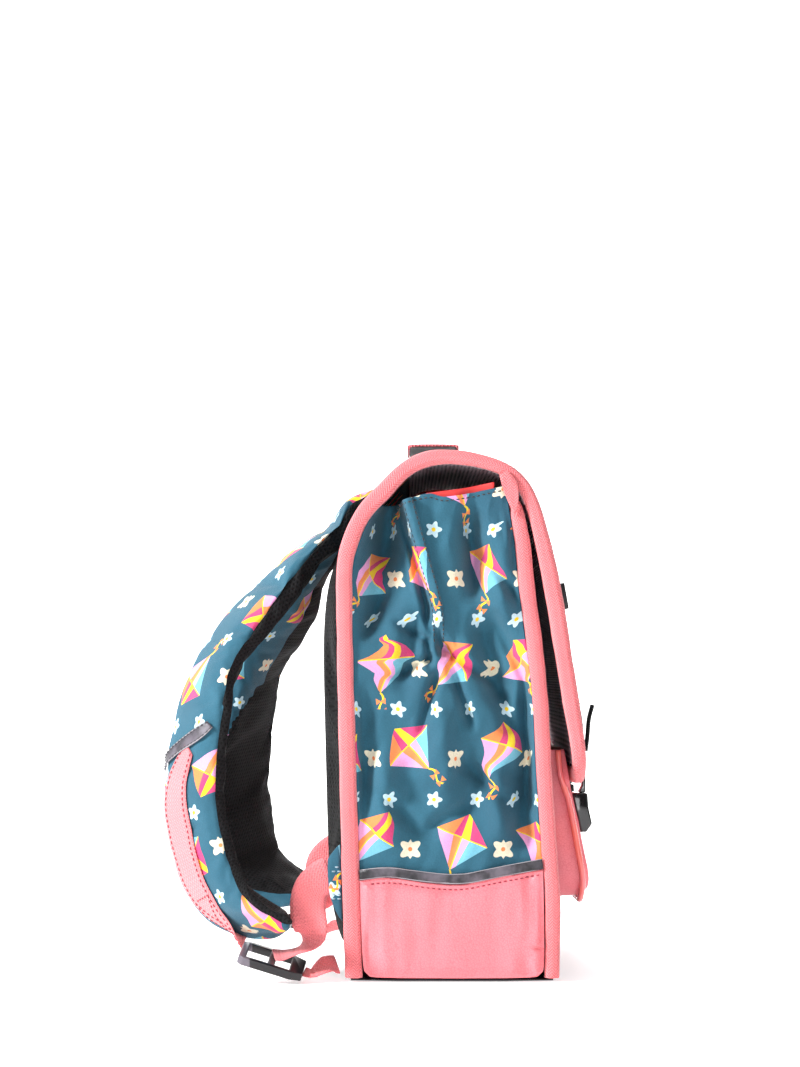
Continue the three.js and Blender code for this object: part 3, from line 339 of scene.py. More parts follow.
def canvas_relief(g, thread=0.9 * MM, depth=0.2 * MM):
    u, v = g.surface()
    turn = 2 * math.pi / thread
    weave = (u * turn).sine() * (v * turn).sine()
    g.relief(weave, depth, 0.5)
    g.relief(g.grain(700.0, 2.0), 0.25 * MM, 0.5)


def printed_cloth():
    g = Graph("printed_canvas", 0.82, Sheen_Weight=0.08, Sheen_Roughness=0.5)
    grain = g.step(g.grain(1100.0, 2.0), 0.3, 0.7)
    colour = kite_print(g)
    shade = g.node("ShaderNodeMix", data_type="RGBA", blend_type="MULTIPLY")
    shade.inputs["Factor"].default_value = 0.3
    g.feed(colour, shade.inputs[6])
    g.feed(g.mix(grain, (0.55, 0.55, 0.55, 1), (1, 1, 1, 1)), shade.inputs[7])
    g.colour(Field(g, shade.outputs[2]))
    canvas_relief(g)
    return g.material


TWILL_WALE = 5.2 * MM


def twill_tape(name, light, dark, ridge, slant=1.0, depth=0.35 * MM):
    """Tape with diagonal ribs that turn back at each wale, a herringbone. The grooves between the ribs are
    painted darker, as painted shade.
    """
    g = Graph(name, 0.78, Sheen_Weight=0.3, Sheen_Roughness=0.5)
    u, v = g.surface()
    wale = u / TWILL_WALE
    lean = (wale - wale.nearest()).size() * TWILL_WALE * slant
    height = ((v + lean) * (2 * math.pi / ridge)).sine()
    worn = g.step(g.grain(60.0), 0.35, 0.7)
    lit = g.mix(worn, light, tuple(0.92 * c for c in light[:3]) + (1,))
    # Painted shade: the colour turns dark in the grooves, where height is low, and stays light on the crests;
    # worn is random tone.
    g.colour(g.mix(g.step(height, -0.9, 0.35), dark, lit))
    g.relief(height, depth, 0.8)
    g.relief(g.grain(900.0, 2.0), 0.2 * MM, 0.5)
    return g.material


def webbing(name, light, dark, rib, warp, depth=0.4 * MM, sheen=0.25):
    """Flat webbing: ribs across it and warp threads along it, with painted shade where the weave is low."""
    g = Graph(name, 0.75, Sheen_Weight=sheen, Sheen_Roughness=0.5)
    u, v = g.surface()
    along = (v * (2 * math.pi / rib)).sine()
    across = (u * (2 * math.pi / warp)).sine()
    height = along * across * 0.6 + along * 0.25 + across * 0.15
    # Painted shade: dark where the weave's height is low, light where it is high.
    g.colour(g.mix(g.step(height, -0.7, 0.3), dark, light))
    g.relief(height, depth, 0.9)
    g.relief(g.grain(800.0, 2.0), 0.2 * MM, 0.5)
    return g.material


def grained_leather():
    g = Graph("grained_leather", 0.46, Coat_Weight=0.12, Coat_Roughness=0.35)
    pores = g.cells(520.0, "DISTANCE_TO_EDGE")
    creases = g.cells(150.0, "DISTANCE_TO_EDGE")
    cloud = g.step(g.grain(16.0), 0.3, 0.72)
    tone = g.mix(cloud, LEATHER, tuple(0.9 * c for c in LEATHER[:3]) + (1,))
    # Painted shade: the pores, low in the relief, are painted LEATHER_DARK; the cloud is random tone.
    g.colour(g.mix(g.step(pores, 0.0, 0.12), LEATHER_DARK, tone))
    g.relief(g.step(pores, 0.0, 0.25), 0.14 * MM, 0.4)
    g.relief(g.step(creases, 0.0, 0.12), 0.2 * MM, 0.25)
    g.relief(g.grain(38.0, 4.0), 2.2 * MM, 0.5)
    return g.material


def spacer_mesh(name, light, dark, pitch, rough=0.8):
    """Knitted spacer mesh: rows of small oval holes, painted dark inside as painted shade."""
    g = Graph(name, rough, Specular_IOR_Level=0.25)
    u, v = g.surface()
    row = (v / pitch).floor()
    x = u / pitch + row * 0.5
    hole_x = (x - x.floor() - 0.5) * 1.15
    hole_y = v / pitch - row - 0.5
    distance = g.math("SQRT", hole_x * hole_x + hole_y * hole_y, 0)
    wall = g.step(distance, 0.18, 0.42)
    # Painted shade: the holes take the dark colour and the walls between them the light one.
    g.colour(g.mix(wall, dark, light))
    g.relief(wall, 0.7 * MM, 0.9)
    return g.material


def reflective_tape():
    g = Graph("reflective_tape", 0.42, Metallic=0.25)
    u, v = g.surface()
    # Painted highlight: a thin line in SILVER_LIGHT near each long edge; the rest is the tape's own grey with
    # random tone.
    edge = (v.size() * 2 - 0.86).size().below(0.07)
    comb = g.cells(900.0, "DISTANCE_TO_EDGE")
    g.colour(g.mix(edge, g.mix(g.step(g.grain(70.0), 0.3, 0.7), SILVER, BLACK_SOFT), SILVER_LIGHT))
    g.relief(g.step(comb, 0.0, 0.1), 0.1 * MM, 0.4)
    return g.material


def moulded_plastic(name="moulded_plastic", colour=BLACK, rough=0.38):
    g = Graph(name, rough, Specular_IOR_Level=0.5)
    g.colour(g.mix(g.step(g.grain(35.0), 0.3, 0.7), colour, BLACK_SOFT))
    g.relief(g.grain(600.0, 2.0), 0.08 * MM, 0.5)
    return g.material


def buckle_plastic():
    """Black plastic with a painted highlight: the bar at the end where v is near to 1 is painted grey."""
    g = Graph("buckle_plastic", 0.3, Specular_IOR_Level=0.5)
    v = g.surface()[1]
    # Painted highlight in SILVER on the rear bar, where v is near to 1.
    g.colour(g.mix(g.step(v, 0.8, 0.82), BLACK, SILVER))
    g.relief(g.grain(600.0, 2.0), 0.08 * MM, 0.5)
    return g.material


def lock_metal():
    g = Graph("lock_metal", 0.12, Metallic=0.6, Coat_Weight=1.0, Coat_Roughness=0.05)
    g.colour(g.mix(g.step(g.grain(28.0), 0.35, 0.65), GUNMETAL, BLACK))
    g.relief(g.grain(90.0, 2.0), 0.1 * MM, 0.25)
    return g.material


def glossy_piping():
    g = Graph("glossy_piping", 0.2, Coat_Weight=0.6, Coat_Roughness=0.12)
    g.colour(g.mix(g.step(g.grain(40.0), 0.3, 0.7), PIPING, CORAL_DARK))
    g.relief(g.grain(160.0, 2.0), 0.2 * MM, 0.35)
    return g.material


def coated_red():
    g = Graph("coated_red", 0.5)
    g.colour(g.mix(g.step(g.grain(30.0), 0.3, 0.7), RED, tuple(0.8 * c for c in RED[:3]) + (1,)))
    g.relief(g.grain(400.0, 2.0), 0.2 * MM, 0.5)
    return g.material


def thread(name, colour):
    g = Graph(name, 0.6, Sheen_Weight=0.3)
    g.colour(g.mix(g.step(g.grain(900.0), 0.35, 0.65), colour, tuple(0.6 * c for c in colour[:3]) + (1,)))
    g.relief(g.grain(2500.0, 1.0), 0.1 * MM, 0.5)
    return g.material


MATERIALS = {
    "print": printed_cloth(),
    "tape": twill_tape("twill_tape", CORAL, CORAL_DARK, 2.1 * MM),
    "webbing": webbing("strap_webbing", CORAL, CORAL_DARK, 2.6 * MM, 3.2 * MM),
    "grid_webbing": webbing("adjusting_webbing", CORAL, CORAL_DARK, 2.4 * MM, 2.4 * MM),
    "leather": grained_leather(),
    "piping": glossy_piping(),
    "mesh": spacer_mesh("spacer_mesh", linear(19, 19, 21), linear(3, 3, 4), 3.0 * MM),
    # The lining is painted pale as painted light, with painted shade in its holes.
    "lining": spacer_mesh("lining_mesh", PALE_LINING_PAINTED_LIGHT, linear(128, 114, 126), 2.4 * MM),
    "red": coated_red(),
    "reflective": reflective_tape(),
    "plastic": moulded_plastic(),
    "buckle": buckle_plastic(),
    "black_webbing": webbing(
        "black_webbing", linear(20, 20, 22), linear(5, 5, 6), 2.2 * MM, 2.8 * MM, sheen=0.0
    ),
    "lock": lock_metal(),
    "red_thread": thread("red_thread", STITCH_RED),
    "dark_thread": thread("dark_thread", linear(12, 32, 44)),
    "pale_thread": thread("pale_thread", PALE_BLUE),
    "grey_thread": thread("grey_thread", linear(70, 66, 74)),
}


# Meshes


def shown(name, mesh, look):
    """A new piece that rides on the bag."""
    piece = bpy.data.objects.new(name, mesh)
    bpy.context.scene.collection.objects.link(piece)
    mesh.materials.clear()
    mesh.materials.append(MATERIALS[look])
    mesh.polygons.foreach_set("use_smooth", [True] * len(mesh.polygons))
    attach(piece, "root")
    return piece


def node_mesh(node):
    """A node's mesh, welded, as a bmesh."""
    bm = bmesh.new()
    bm.from_mesh(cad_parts[node].data)
    bmesh.ops.remove_doubles(bm, verts=bm.verts, dist=WELD)
    return bm


def points_of(piece):
    flat = np.empty(len(piece.data.vertices) * 3)
    piece.data.vertices.foreach_get("co", flat)
    return flat.reshape(-1, 3)


def move_points(piece, points):
    piece.data.vertices.foreach_set("co", np.asarray(points).ravel())
    piece.data.update()


def normals_of(piece):
    flat = np.empty(len(piece.data.vertices) * 3)
    piece.data.vertices.foreach_get("normal", flat)
    return flat.reshape(-1, 3)


def bake(piece):
    """Applies the piece's modifiers."""
    graph = bpy.context.evaluated_depsgraph_get()
    mesh = bpy.data.meshes.new_from_object(piece.evaluated_get(graph))
    piece.modifiers.clear()
    piece.data = mesh


def finer(piece, levels, kind="CATMULL_CLARK"):
    made = piece.modifiers.new("finer", "SUBSURF")
    made.levels = levels
    made.render_levels = levels
    made.subdivision_type = kind
    bake(piece)


def dressed(node, name, look, levels=2, sharp=32.0, crease=0.85):
    """A finer, smooth copy of a node, which it replaces. Edges that turn more than sharp degrees stay."""
    bm = node_mesh(node)
    bmesh.ops.join_triangles(
        bm, faces=bm.faces, angle_face_threshold=math.radians(25), angle_shape_threshold=math.radians(75)
    )
    layer = bm.edges.layers.float.new("crease_edge")
    for edge in bm.edges:
        if edge.calc_face_angle(math.pi) > math.radians(sharp):
            edge[layer] = crease
    mesh = bpy.data.meshes.new(name)
    bm.to_mesh(mesh)
    bm.free()
    piece = shown(name, mesh, look)
    finer(piece, levels)
    piece.data.polygons.foreach_set("use_smooth", [True] * len(piece.data.polygons))
    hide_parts(node)
    return piece


def bevelled(node, name, look, width, segments=3):
    """A copy of a hard node with rounded edges, which it replaces."""
    bm = node_mesh(node)
    bmesh.ops.dissolve_limit(bm, angle_limit=math.radians(2), verts=bm.verts, edges=bm.edges)
    mesh = bpy.data.meshes.new(name)
    bm.to_mesh(mesh)
    bm.free()
    piece = shown(name, mesh, look)
    made = piece.modifiers.new("bevel", "BEVEL")
    made.width = width
    made.segments = segments
    made.limit_method = "ANGLE"
    made.angle_limit = math.radians(20)
    bake(piece)
    piece.data.polygons.foreach_set("use_smooth", [True] * len(piece.data.polygons))
    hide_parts(node)
    return piece


def lay_out(piece, u, v):
    """Gives each point its surface coordinates, in metres."""
    mesh = piece.data
    while mesh.uv_layers:
        mesh.uv_layers.remove(mesh.uv_layers[0])
    layer = mesh.uv_layers.new(name="surface")
    corners = np.empty(len(mesh.loops), dtype=np.int64)
    mesh.loops.foreach_get("vertex_index", corners)
    pairs = np.stack([np.asarray(u)[corners], np.asarray(v)[corners]], axis=1)
    layer.data.foreach_set("uv", pairs.ravel())


def roughened(piece, depth, scale, seed=0.0, only=None):
    """Moves the points along their normals by smooth noise, up to depth metres."""
    points = points_of(piece)
    normals = normals_of(piece)
    shift = np.array([noise.noise(Vector(p) * scale + Vector((seed, seed, seed))) for p in points])
    if only is not None:
        shift = shift * only
    move_points(piece, points + normals * (shift * depth)[:, None])


SPINE_PARTS = 4


def denser(values, parts):
    """The values with smooth steps between them, on a curve through all of them."""
    before = np.vstack([2 * values[:1] - values[1:2], values, 2 * values[-1:] - values[-2:-1]])
    made = []
    for i in range(len(values) - 1):
        a, b, c, d = before[i : i + 4]
        for t in np.arange(parts) / parts:
            bend = (2 * b) + (c - a) * t + (2 * a - 5 * b + 4 * c - d) * t**2 + (3 * b - a - 3 * c + d) * t**3
            made.append(bend / 2)
    made.append(values[-1])
    return np.array(made)


class Spine:
    """The middle line of a lofted node, with a side and an up direction at each of its rings."""

    def __init__(self, node, toward, up, flat=False):
        bm = node_mesh(node)
        toward = Vector(toward)
        first = max(bm.faces, key=lambda face: face.calc_center_median().dot(toward))
        cap = {first}
        open_faces = [first]
        while open_faces:
            face = open_faces.pop()
            for edge in face.edges:
                for other in edge.link_faces:
                    if other not in cap and other.normal.dot(first.normal) > 0.9999:
                        cap.add(other)
                        open_faces.append(other)
        ring = {vertex for face in cap for vertex in face.verts}
        seen = set(ring)
        rings = []
        while ring:
            rings.append(np.array([vertex.co[:] for vertex in ring]))
            ring = {e.other_vert(v) for v in ring for e in v.link_edges} - seen
            seen |= ring
        bm.free()
        self.centre = np.array([points.mean(axis=0) for points in rings])
        steps = np.gradient(self.centre, axis=0)
        onward = steps / np.linalg.norm(steps, axis=1)[:, None]
        self.up = np.empty_like(self.centre)
        last = np.array(up, dtype=float)
        for i, way in enumerate(onward):
            if flat:
                spread = rings[i] - self.centre[i]
                wide = np.linalg.svd(spread, full_matrices=False)[2][0]
                level = np.cross(wide, way)
                last = level if level.dot(last) > 0 else -level
            last = last - way * last.dot(way)
            last = last / np.linalg.norm(last)
            self.up[i] = last
        self.side = np.cross(onward, self.up)
        spreads = [points - centre for points, centre in zip(rings, self.centre)]
        across = [spread.dot(side) for spread, side in zip(spreads, self.side)]
        above = [spread.dot(rise) for spread, rise in zip(spreads, self.up)]
        wide = np.array([[(values.max() - values.min()) / 2] for values in across])
        high = np.array([[values.max(), values.min()] for values in above])
        self.centre, self.side, self.up, self.wide, self.high = (
            denser(v, SPINE_PARTS) for v in (self.centre, self.side, self.up, wide, high)
        )
        lengths = np.linalg.norm(np.diff(self.centre, axis=0), axis=1)
        self.length = np.concatenate([[0.0], np.cumsum(lengths)])

    def local(self, points):
        """Each point's distance across the line, along it and above it."""
        start = self.centre[:-1]
        step = self.centre[1:] - start
        away = points[:, None, :] - start[None]
        share = (away * step[None]).sum(2) / (step * step).sum(1)[None]
        share = np.clip(share, 0.0, 1.0)
        gap = away - share[:, :, None] * step[None]
        best = (gap * gap).sum(2).argmin(1)
        pick = np.arange(len(points))
        t = share[pick, best]
        rest = gap[pick, best]
        side = self.side[best] * (1 - t)[:, None] + self.side[best + 1] * t[:, None]
        up = self.up[best] * (1 - t)[:, None] + self.up[best + 1] * t[:, None]
        along = self.length[best] + t * (self.length[best + 1] - self.length[best])
        return (rest * side).sum(1), along, (rest * up).sum(1)

    def ease(self, passes):
        """Takes small kinks out of the line and its directions, but for its two ends."""
        for _ in range(passes):
            for values in (self.centre, self.side, self.up, self.wide):
                values[1:-1] = (values[:-2] + 2 * values[1:-1] + values[2:]) / 4
        for values in (self.side, self.up):
            values /= np.linalg.norm(values, axis=1)[:, None]

    def place(self, across, along, above):
        """The point at a distance across, along and above the line."""
        parts = []
        for values in (self.centre, self.side, self.up):
            lines = [np.interp(along, self.length, values[:, axis]) for axis in range(3)]
            parts.append(np.stack(lines, axis=-1))
        across = np.asarray(across)[..., None]
        above = np.asarray(above)[..., None]
        return parts[0] + parts[1] * across + parts[2] * above


# Swept pieces

RIBBON_STEP = 2.0 * MM
RIBBON_SPREAD = np.linspace(-1, 1, 9)
RIBBON_RIPPLE = 0.35 * MM
EASE_PASSES = 40
SETTLE_PASSES = 8
SETTLE_SPREAD = 1.2 * MM


def tube_mesh(name, rows):
    """A closed mesh through rows of points, each row a ring, with flat ends."""
    count, around = rows.shape[:2]
    faces = []
    for i in range(count - 1):
        for j in range(around):
            k = (j + 1) % around
            faces.append((i * around + j, i * around + k, (i + 1) * around + k, (i + 1) * around + j))
    faces.append(tuple(reversed(range(around))))
    faces.append(tuple((count - 1) * around + j for j in range(around)))
    mesh = bpy.data.meshes.new(name)
    mesh.from_pydata(rows.reshape(-1, 3).tolist(), [], faces)
    return mesh


def out_facing(piece):
    bm = bmesh.new()
    bm.from_mesh(piece.data)
    bmesh.ops.recalc_face_normals(bm, faces=bm.faces)
    bm.to_mesh(piece.data)
    bm.free()


def settled(onto, top, rise, lift, reach):
    """How far each point moves up to lie on the piece onto, even along the band."""
    tree = BVHTree.FromObject(onto, bpy.context.evaluated_depsgraph_get())
    moves = np.full(top.shape[:2], np.nan)
    for i in range(top.shape[0]):
        for j in range(top.shape[1]):
            start = Vector(top[i, j] + rise[i] * reach)
            hit = tree.ray_cast(start, Vector(-rise[i]), reach * 2)[0]
            if hit is not None:
                moves[i, j] = (np.array(hit) - top[i, j]).dot(rise[i]) + lift
    middle = np.nanmedian(moves, axis=1, keepdims=True)
    moves = np.clip(moves, middle - SETTLE_SPREAD, middle + SETTLE_SPREAD)
    rows = np.arange(len(moves))
    for j in range(moves.shape[1]):
        known = ~np.isnan(moves[:, j])
        moves[:, j] = np.interp(rows, rows[known], moves[known, j]) if known.any() else 0.0
    for _ in range(SETTLE_PASSES):
        padded_rows = np.vstack([moves[:1], moves, moves[-1:]])
        moves = (padded_rows[:-2] + 2 * moves + padded_rows[2:]) / 4
        padded_columns = np.hstack([moves[:, :1], moves, moves[:, -1:]])
        moves = (padded_columns[:, :-2] + 2 * moves + padded_columns[:, 2:]) / 4
    return moves


def ribbon(node, name, look, toward, up, onto=None, lift=0.0, thick=None, reach=9 * MM, lean=0.0, free=None):
    """A band swept along a node's middle line. It lies on the piece onto where it comes near to it.

    It hangs lower by the share lean of how far a place is in front of its rearmost point. Free is two
    heights: below the first the band hangs free, and above the second it lies on the piece.
    """
    line = Spine(node, toward, up, flat=True)
    if onto is not None:
        line.ease(EASE_PASSES)
    count = max(int(line.length[-1] / RIBBON_STEP), 4)
    along = np.linspace(0, line.length[-1], count)
    wide = np.interp(along, line.length, line.wide[:, 0])
    depth = np.interp(along, line.length, line.high[:, 0] - line.high[:, 1]) / 2
    if thick is not None:
        depth = np.full_like(depth, thick / 2)
    ripple = np.array([noise.noise(Vector((s * 55, len(node), 0.5))) for s in along]) * RIBBON_RIPPLE
    top = np.stack([line.place(wide * s, along, ripple) for s in RIBBON_SPREAD], axis=1)
    rise = line.place(0 * along, along, 1 + 0 * along) - line.place(0 * along, along, 0 * along)
    top[:, :, 2] -= lean * (top[:, :, 1].max() - top[:, :, 1])
    if onto is None:
        top += rise[:, None] * lift
    else:
        moves = settled(onto, top, rise, lift, reach)
        if free is not None:
            moves = moves * smoothly(top[:, :, 2], *free)
        top += rise[:, None] * moves[..., None]
    edge = (1 - np.abs(RIBBON_SPREAD) ** 6) * 0.75 + 0.25
    swell = rise[:, None, :] * (edge[None, :] * depth[:, None])[..., None]
    rows = np.concatenate([top + swell, (top - swell)[:, ::-1]], axis=1)
    piece = shown(name, tube_mesh(name, rows), look)
    out_facing(piece)
    spread = np.concatenate([RIBBON_SPREAD, RIBBON_SPREAD[::-1]])
    lay_out(piece, (wide[:, None] * spread[None, :]).ravel(), np.repeat(along, len(spread)))
    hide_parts(node)
    return piece, top + swell, rise


# Padding

PUFF_FRAMES = 18
PUFF_MASS = 0.25
PUFF_TENSION = 12.0
PUFF_BEND = 0.35


def puffed(piece, pinned, pressure, cap, slack):
    """Swells the piece as stuffed cloth that is held at its pinned points, with slack in the cloth."""
    before = points_of(piece)
    group = piece.vertex_groups.new(name="seams")
    group.add([int(i) for i in np.flatnonzero(pinned)], 1.0, "REPLACE")
    made = piece.modifiers.new("stuffing", "CLOTH")
    cloth = made.settings
    cloth.quality = 4
    cloth.mass = PUFF_MASS
    cloth.tension_stiffness = PUFF_TENSION
    cloth.compression_stiffness = PUFF_TENSION
    cloth.bending_stiffness = PUFF_BEND
    cloth.vertex_group_mass = group.name
    cloth.shrink_min = -slack
    cloth.use_pressure = True
    cloth.uniform_pressure_force = pressure
    cloth.effector_weights.gravity = 0.0
    made.collision_settings.use_collision = False
    made.point_cache.frame_start = 1
    made.point_cache.frame_end = PUFF_FRAMES
    for frame_number in range(1, PUFF_FRAMES + 1):
        bpy.context.scene.frame_set(frame_number)
    bake(piece)
    bpy.context.scene.frame_set(1)
    piece.vertex_groups.clear()
    moved = points_of(piece) - before
    far = np.linalg.norm(moved, axis=1)
    share = np.minimum(1.0, cap / np.maximum(far, 1e-9))
    move_points(piece, before + moved * share[:, None])


# Big sheets and their bindings

SHEET_WAVE = 0.7 * MM


def long_sheet():
    piece = dressed("back_flap_panel", "long_sheet_cloth", "print", levels=3)
    line = Spine("back_flap_panel", (0, 0.3, -1), (0, 1, 0))
    points = points_of(piece)
    along = line.local(points * (0, 1, 1))[1]
    lay_out(piece, points[:, 0], along)
    roughened(piece, SHEET_WAVE, 22.0)
    return piece


def bound_edge(node, name, toward, up, outward):
    """Tape round an edge. Its outer side is where outward times the distance across is above 0."""
    piece = dressed(node, name, "tape", levels=2, sharp=60.0)
    line = Spine(node, toward, up)
    across, along, above = line.local(points_of(piece))
    radius = 6 * MM
    lay_out(piece, np.arctan2(above, outward * across) * radius, along)
    roughened(piece, 0.5 * MM, 60.0)


LINING_MIDDLE = (-0.02, 0.24)
LINING_REACH = 0.11
LINING_STRETCH = 0.2


def under_flap():
    piece = dressed("flap_lining", "under_flap_mesh", "lining")
    points = points_of(piece)
    angle = np.arctan2(points[:, 2] - LINING_MIDDLE[1], points[:, 1] - LINING_MIDDLE[0])
    lay_out(piece, points[:, 0] * LINING_STRETCH, angle * LINING_REACH)


def front_sheet():
    piece = dressed("front_panel", "front_sheet_cloth", "print", levels=3)
    points = points_of(piece)
    lay_out(piece, points[:, 0], points[:, 2])


# Stitches

STITCH_LENGTH = 2.6 * MM
STITCH_GAP = 1.3 * MM
STITCH_THICK = 0.5 * MM
STITCH_SIDES = 6
# Columns: share of the stitch's length, share of its thickness, share of its rise
STITCH_RINGS = [
    (0.0, 0.35, -0.6),
    (0.14, 0.85, 0.15),
    (0.5, 1.0, 0.45),
    (0.86, 0.85, 0.15),
    (1.0, 0.35, -0.6),
]


def stitches(name, look, runs):
    """Rows of raised stitches. Each run is a list of points and the direction out of the cloth."""
    vertices = []
    faces = []
    for points, out in runs:
        points = np.asarray(points, dtype=float)
        lengths = np.linalg.norm(np.diff(points, axis=0), axis=1)
        far = np.concatenate([[0.0], np.cumsum(lengths)])
        out = np.broadcast_to(np.asarray(out, dtype=float), points.shape)
        count = int(far[-1] / (STITCH_LENGTH + STITCH_GAP))
        for k in range(count):
            start = k * (STITCH_LENGTH + STITCH_GAP)
            base = len(vertices)
            for share, thick, rise in STITCH_RINGS:
                at = start + share * STITCH_LENGTH
                centre = np.array([np.interp(at, far, points[:, i]) for i in range(3)])
                ahead = np.array([np.interp(at + 0.2 * MM, far, points[:, i]) for i in range(3)])
                behind = np.array([np.interp(at - 0.2 * MM, far, points[:, i]) for i in range(3)])
                up = np.array([np.interp(at, far, out[:, i]) for i in range(3)])
                way = (ahead - behind) / max(np.linalg.norm(ahead - behind), 1e-9)
                up = up - way * up.dot(way)
                up = up / np.linalg.norm(up)
                aside = np.cross(way, up)
                for j in range(STITCH_SIDES):
                    angle = 2 * math.pi * j / STITCH_SIDES
                    spread = aside * math.cos(angle) + up * math.sin(angle)
                    vertices.append(centre + (spread * thick + up * rise) * STITCH_THICK)
            rings = len(STITCH_RINGS)
            for i in range(rings - 1):
                for j in range(STITCH_SIDES):
                    a = base + i * STITCH_SIDES + j
                    b = base + i * STITCH_SIDES + (j + 1) % STITCH_SIDES
                    faces.append((a, b, b + STITCH_SIDES, a + STITCH_SIDES))
            faces.append(tuple(base + j for j in reversed(range(STITCH_SIDES))))
            faces.append(tuple(base + (rings - 1) * STITCH_SIDES + j for j in range(STITCH_SIDES)))
    mesh = bpy.data.meshes.new(name)
    mesh.from_pydata([tuple(p) for p in vertices], [], faces)
    return shown(name, mesh, look)


# Sides, worked out on the left one, at -X

# Columns: y and z where the fold starts, y and z where it ends, half width, depth, in millimetres
SIDE_FOLDS = [
    (-12, 336, -19, 262, 7, 6.0),
    (-19, 262, -36, 190, 9, 6.5),
    (-32, 212, -46, 165, 7, 4.0),
    (-53, 222, -55, 108, 7, 6.5),
    (-52, 334, -56, 250, 6, 4.0),
    (12, 250, 4, 224, 3.5, 5.0),
    (17, 240, 15, 216, 2.6, 3.2),
    (5, 236, -3, 222, 2.4, 3.0),
    (22, 262, 36, 196, 7, 3.5),
    (46, 318, 60, 236, 8, 4.5),
    (62, 210, 60, 110, 8, 3.5),
    (36, 190, 24, 110, 12, 3.0),
    (-6, 170, -20, 96, 12, 3.5),
    (-44, 160, -52, 90, 8, 3.0),
    (10, 200, 0, 130, 10, -3.0),
    (-30, 150, -36, 92, 8, -2.5),
    (48, 160, 46, 92, 8, -2.5),
    (-36, 330, -36, 240, 8, -3.0),
    (53, 400, 43, 286, 13, 10.0),
    (9, 233, 42, 252, 3.0, 2.6),
    (9, 228, 44, 210, 3.2, 2.8),
    (2, 229, -32, 206, 3.2, 3.0),
    (2, 224, -16, 172, 3.4, 3.2),
    (8, 221, 24, 166, 3.4, 3.0),
    (44, 276, 62, 238, 4.0, 3.0),
    (-18, 306, -50, 262, 4.5, 3.0),
    (-26, 262, -54, 206, 4.5, 2.8),
    (-6, 156, -44, 118, 5.5, 2.8),
    (54, 136, 18, 100, 5.5, 2.6),
    (-20, 128, 26, 98, 6.0, 2.2),
]
# Columns: z and y of the pleat's middle line, in millimetres
PLEAT_LINE = [(206, 7.5), (236, 8.5), (262, 10.5), (292, 18.5), (322, 27.0), (348, 34.5)]
FOLD_STRENGTH = 2.6
PLEAT_HALF = 4.6 * MM
PLEAT_RAISE = 3.6 * MM
PLEAT_SHADOW = 6.6 * MM
PLEAT_SHADOW_DEPTH = 15.0 * MM
PLEAT_FADE = (0.232, 0.262)
HEM_DROP = 3.0 * MM
SIDE_EDGE = 5.0 * MM
SIDE_WRINKLE = 3.0 * MM
EDGE_TUCK = 1.6 * MM
FAR_RISE = 22.0 * MM
NEAR_RISE = 4.0 * MM


def smoothly(value, low, high):
    t = np.clip((value - low) / (high - low), 0, 1)
    return t * t * (3 - 2 * t)


def pleat_offset(y, z):
    """How far behind the pleat's middle line a place is, and how much of the pleat is there."""
    levels = [row[0] * MM for row in PLEAT_LINE]
    line = np.interp(z, levels, [row[1] * MM for row in PLEAT_LINE])
    return y - line, smoothly(z, *PLEAT_FADE)


def side_depth(y, z):
    """How far the cloth is pressed in, from its folds and the pleat."""
    depth = np.zeros_like(y)
    for y0, z0, y1, z1, half, deep in SIDE_FOLDS:
        start = np.array([y0, z0]) * MM
        step = np.array([y1, z1]) * MM - start
        share = ((y - start[0]) * step[0] + (z - start[1]) * step[1]) / step.dot(step)
        near = np.clip(share, 0, 1)
        away = np.hypot(y - start[0] - near * step[0], z - start[1] - near * step[1])
        ends = smoothly(share, -0.05, 0.3) * smoothly(1 - share, -0.05, 0.3)
        depth += FOLD_STRENGTH * deep * MM * np.exp(-((away / (half * MM)) ** 2)) * ends
    offset, present = pleat_offset(y, z)
    flat = 1 - smoothly(np.abs(offset), PLEAT_HALF - 1.2 * MM, PLEAT_HALF + 0.4 * MM)
    shadow = np.exp(-(((offset - PLEAT_SHADOW) / (3.2 * MM)) ** 2))
    return depth * (1 - flat * present) - PLEAT_RAISE * flat * present + PLEAT_SHADOW_DEPTH * shadow * present


class SideFace:
    """The outer face of a side piece, for putting things on it."""

    def __init__(self, piece, sign):
        points = points_of(piece)
        faces = [tuple(face.vertices) for face in piece.data.polygons]
        self.tree = BVHTree.FromPolygons(points.tolist(), faces)
        self.sign = sign

    def x(self, y, z):
        hit = self.tree.ray_cast(Vector((self.sign * 0.3, y, z)), Vector((-self.sign, 0, 0)))[0]
        return None if hit is None else hit[0]

    def line(self, pairs):
        """The points on the face over the given y and z pairs."""
        found = [(self.x(y, z), y, z) for y, z in pairs]
        return [point for point in found if point[0] is not None]


def edge_lines(points, along, across, steps=60):
    """The lowest and highest of across at even steps of along."""
    bins = np.linspace(along.min(), along.max(), steps + 1)
    place = np.clip(np.digitize(along, bins) - 1, 0, steps - 1)
    middles = (bins[:-1] + bins[1:]) / 2
    used = [i for i in range(steps) if (place == i).any()]
    low = [across[place == i].min() for i in used]
    high = [across[place == i].max() for i in used]
    return middles[used], np.array(low), np.array(high)


def arc_lengths(face, y_range, z_range, step=2.0 * MM):
    """A grid of distances along the cloth from its middle, at steps of y and z."""
    ys = np.arange(y_range[0], y_range[1] + step, step)
    zs = np.arange(z_range[0], z_range[1] + step * 2, step * 2)
    grid = np.zeros((len(zs), len(ys)))
    for i, z in enumerate(zs):
        row = [face.x(y, z) for y in ys]
        known = [j for j, x in enumerate(row) if x is not None]
        if len(known) < 2:
            grid[i] = grid[i - 1] if i else ys
            continue
        x = np.interp(ys, ys[known], [row[j] for j in known])
        steps = np.hypot(np.diff(x), step)
        length = np.concatenate([[0.0], np.cumsum(steps)])
        grid[i] = length - np.interp(0.0, ys, length)
    return ys, zs, grid


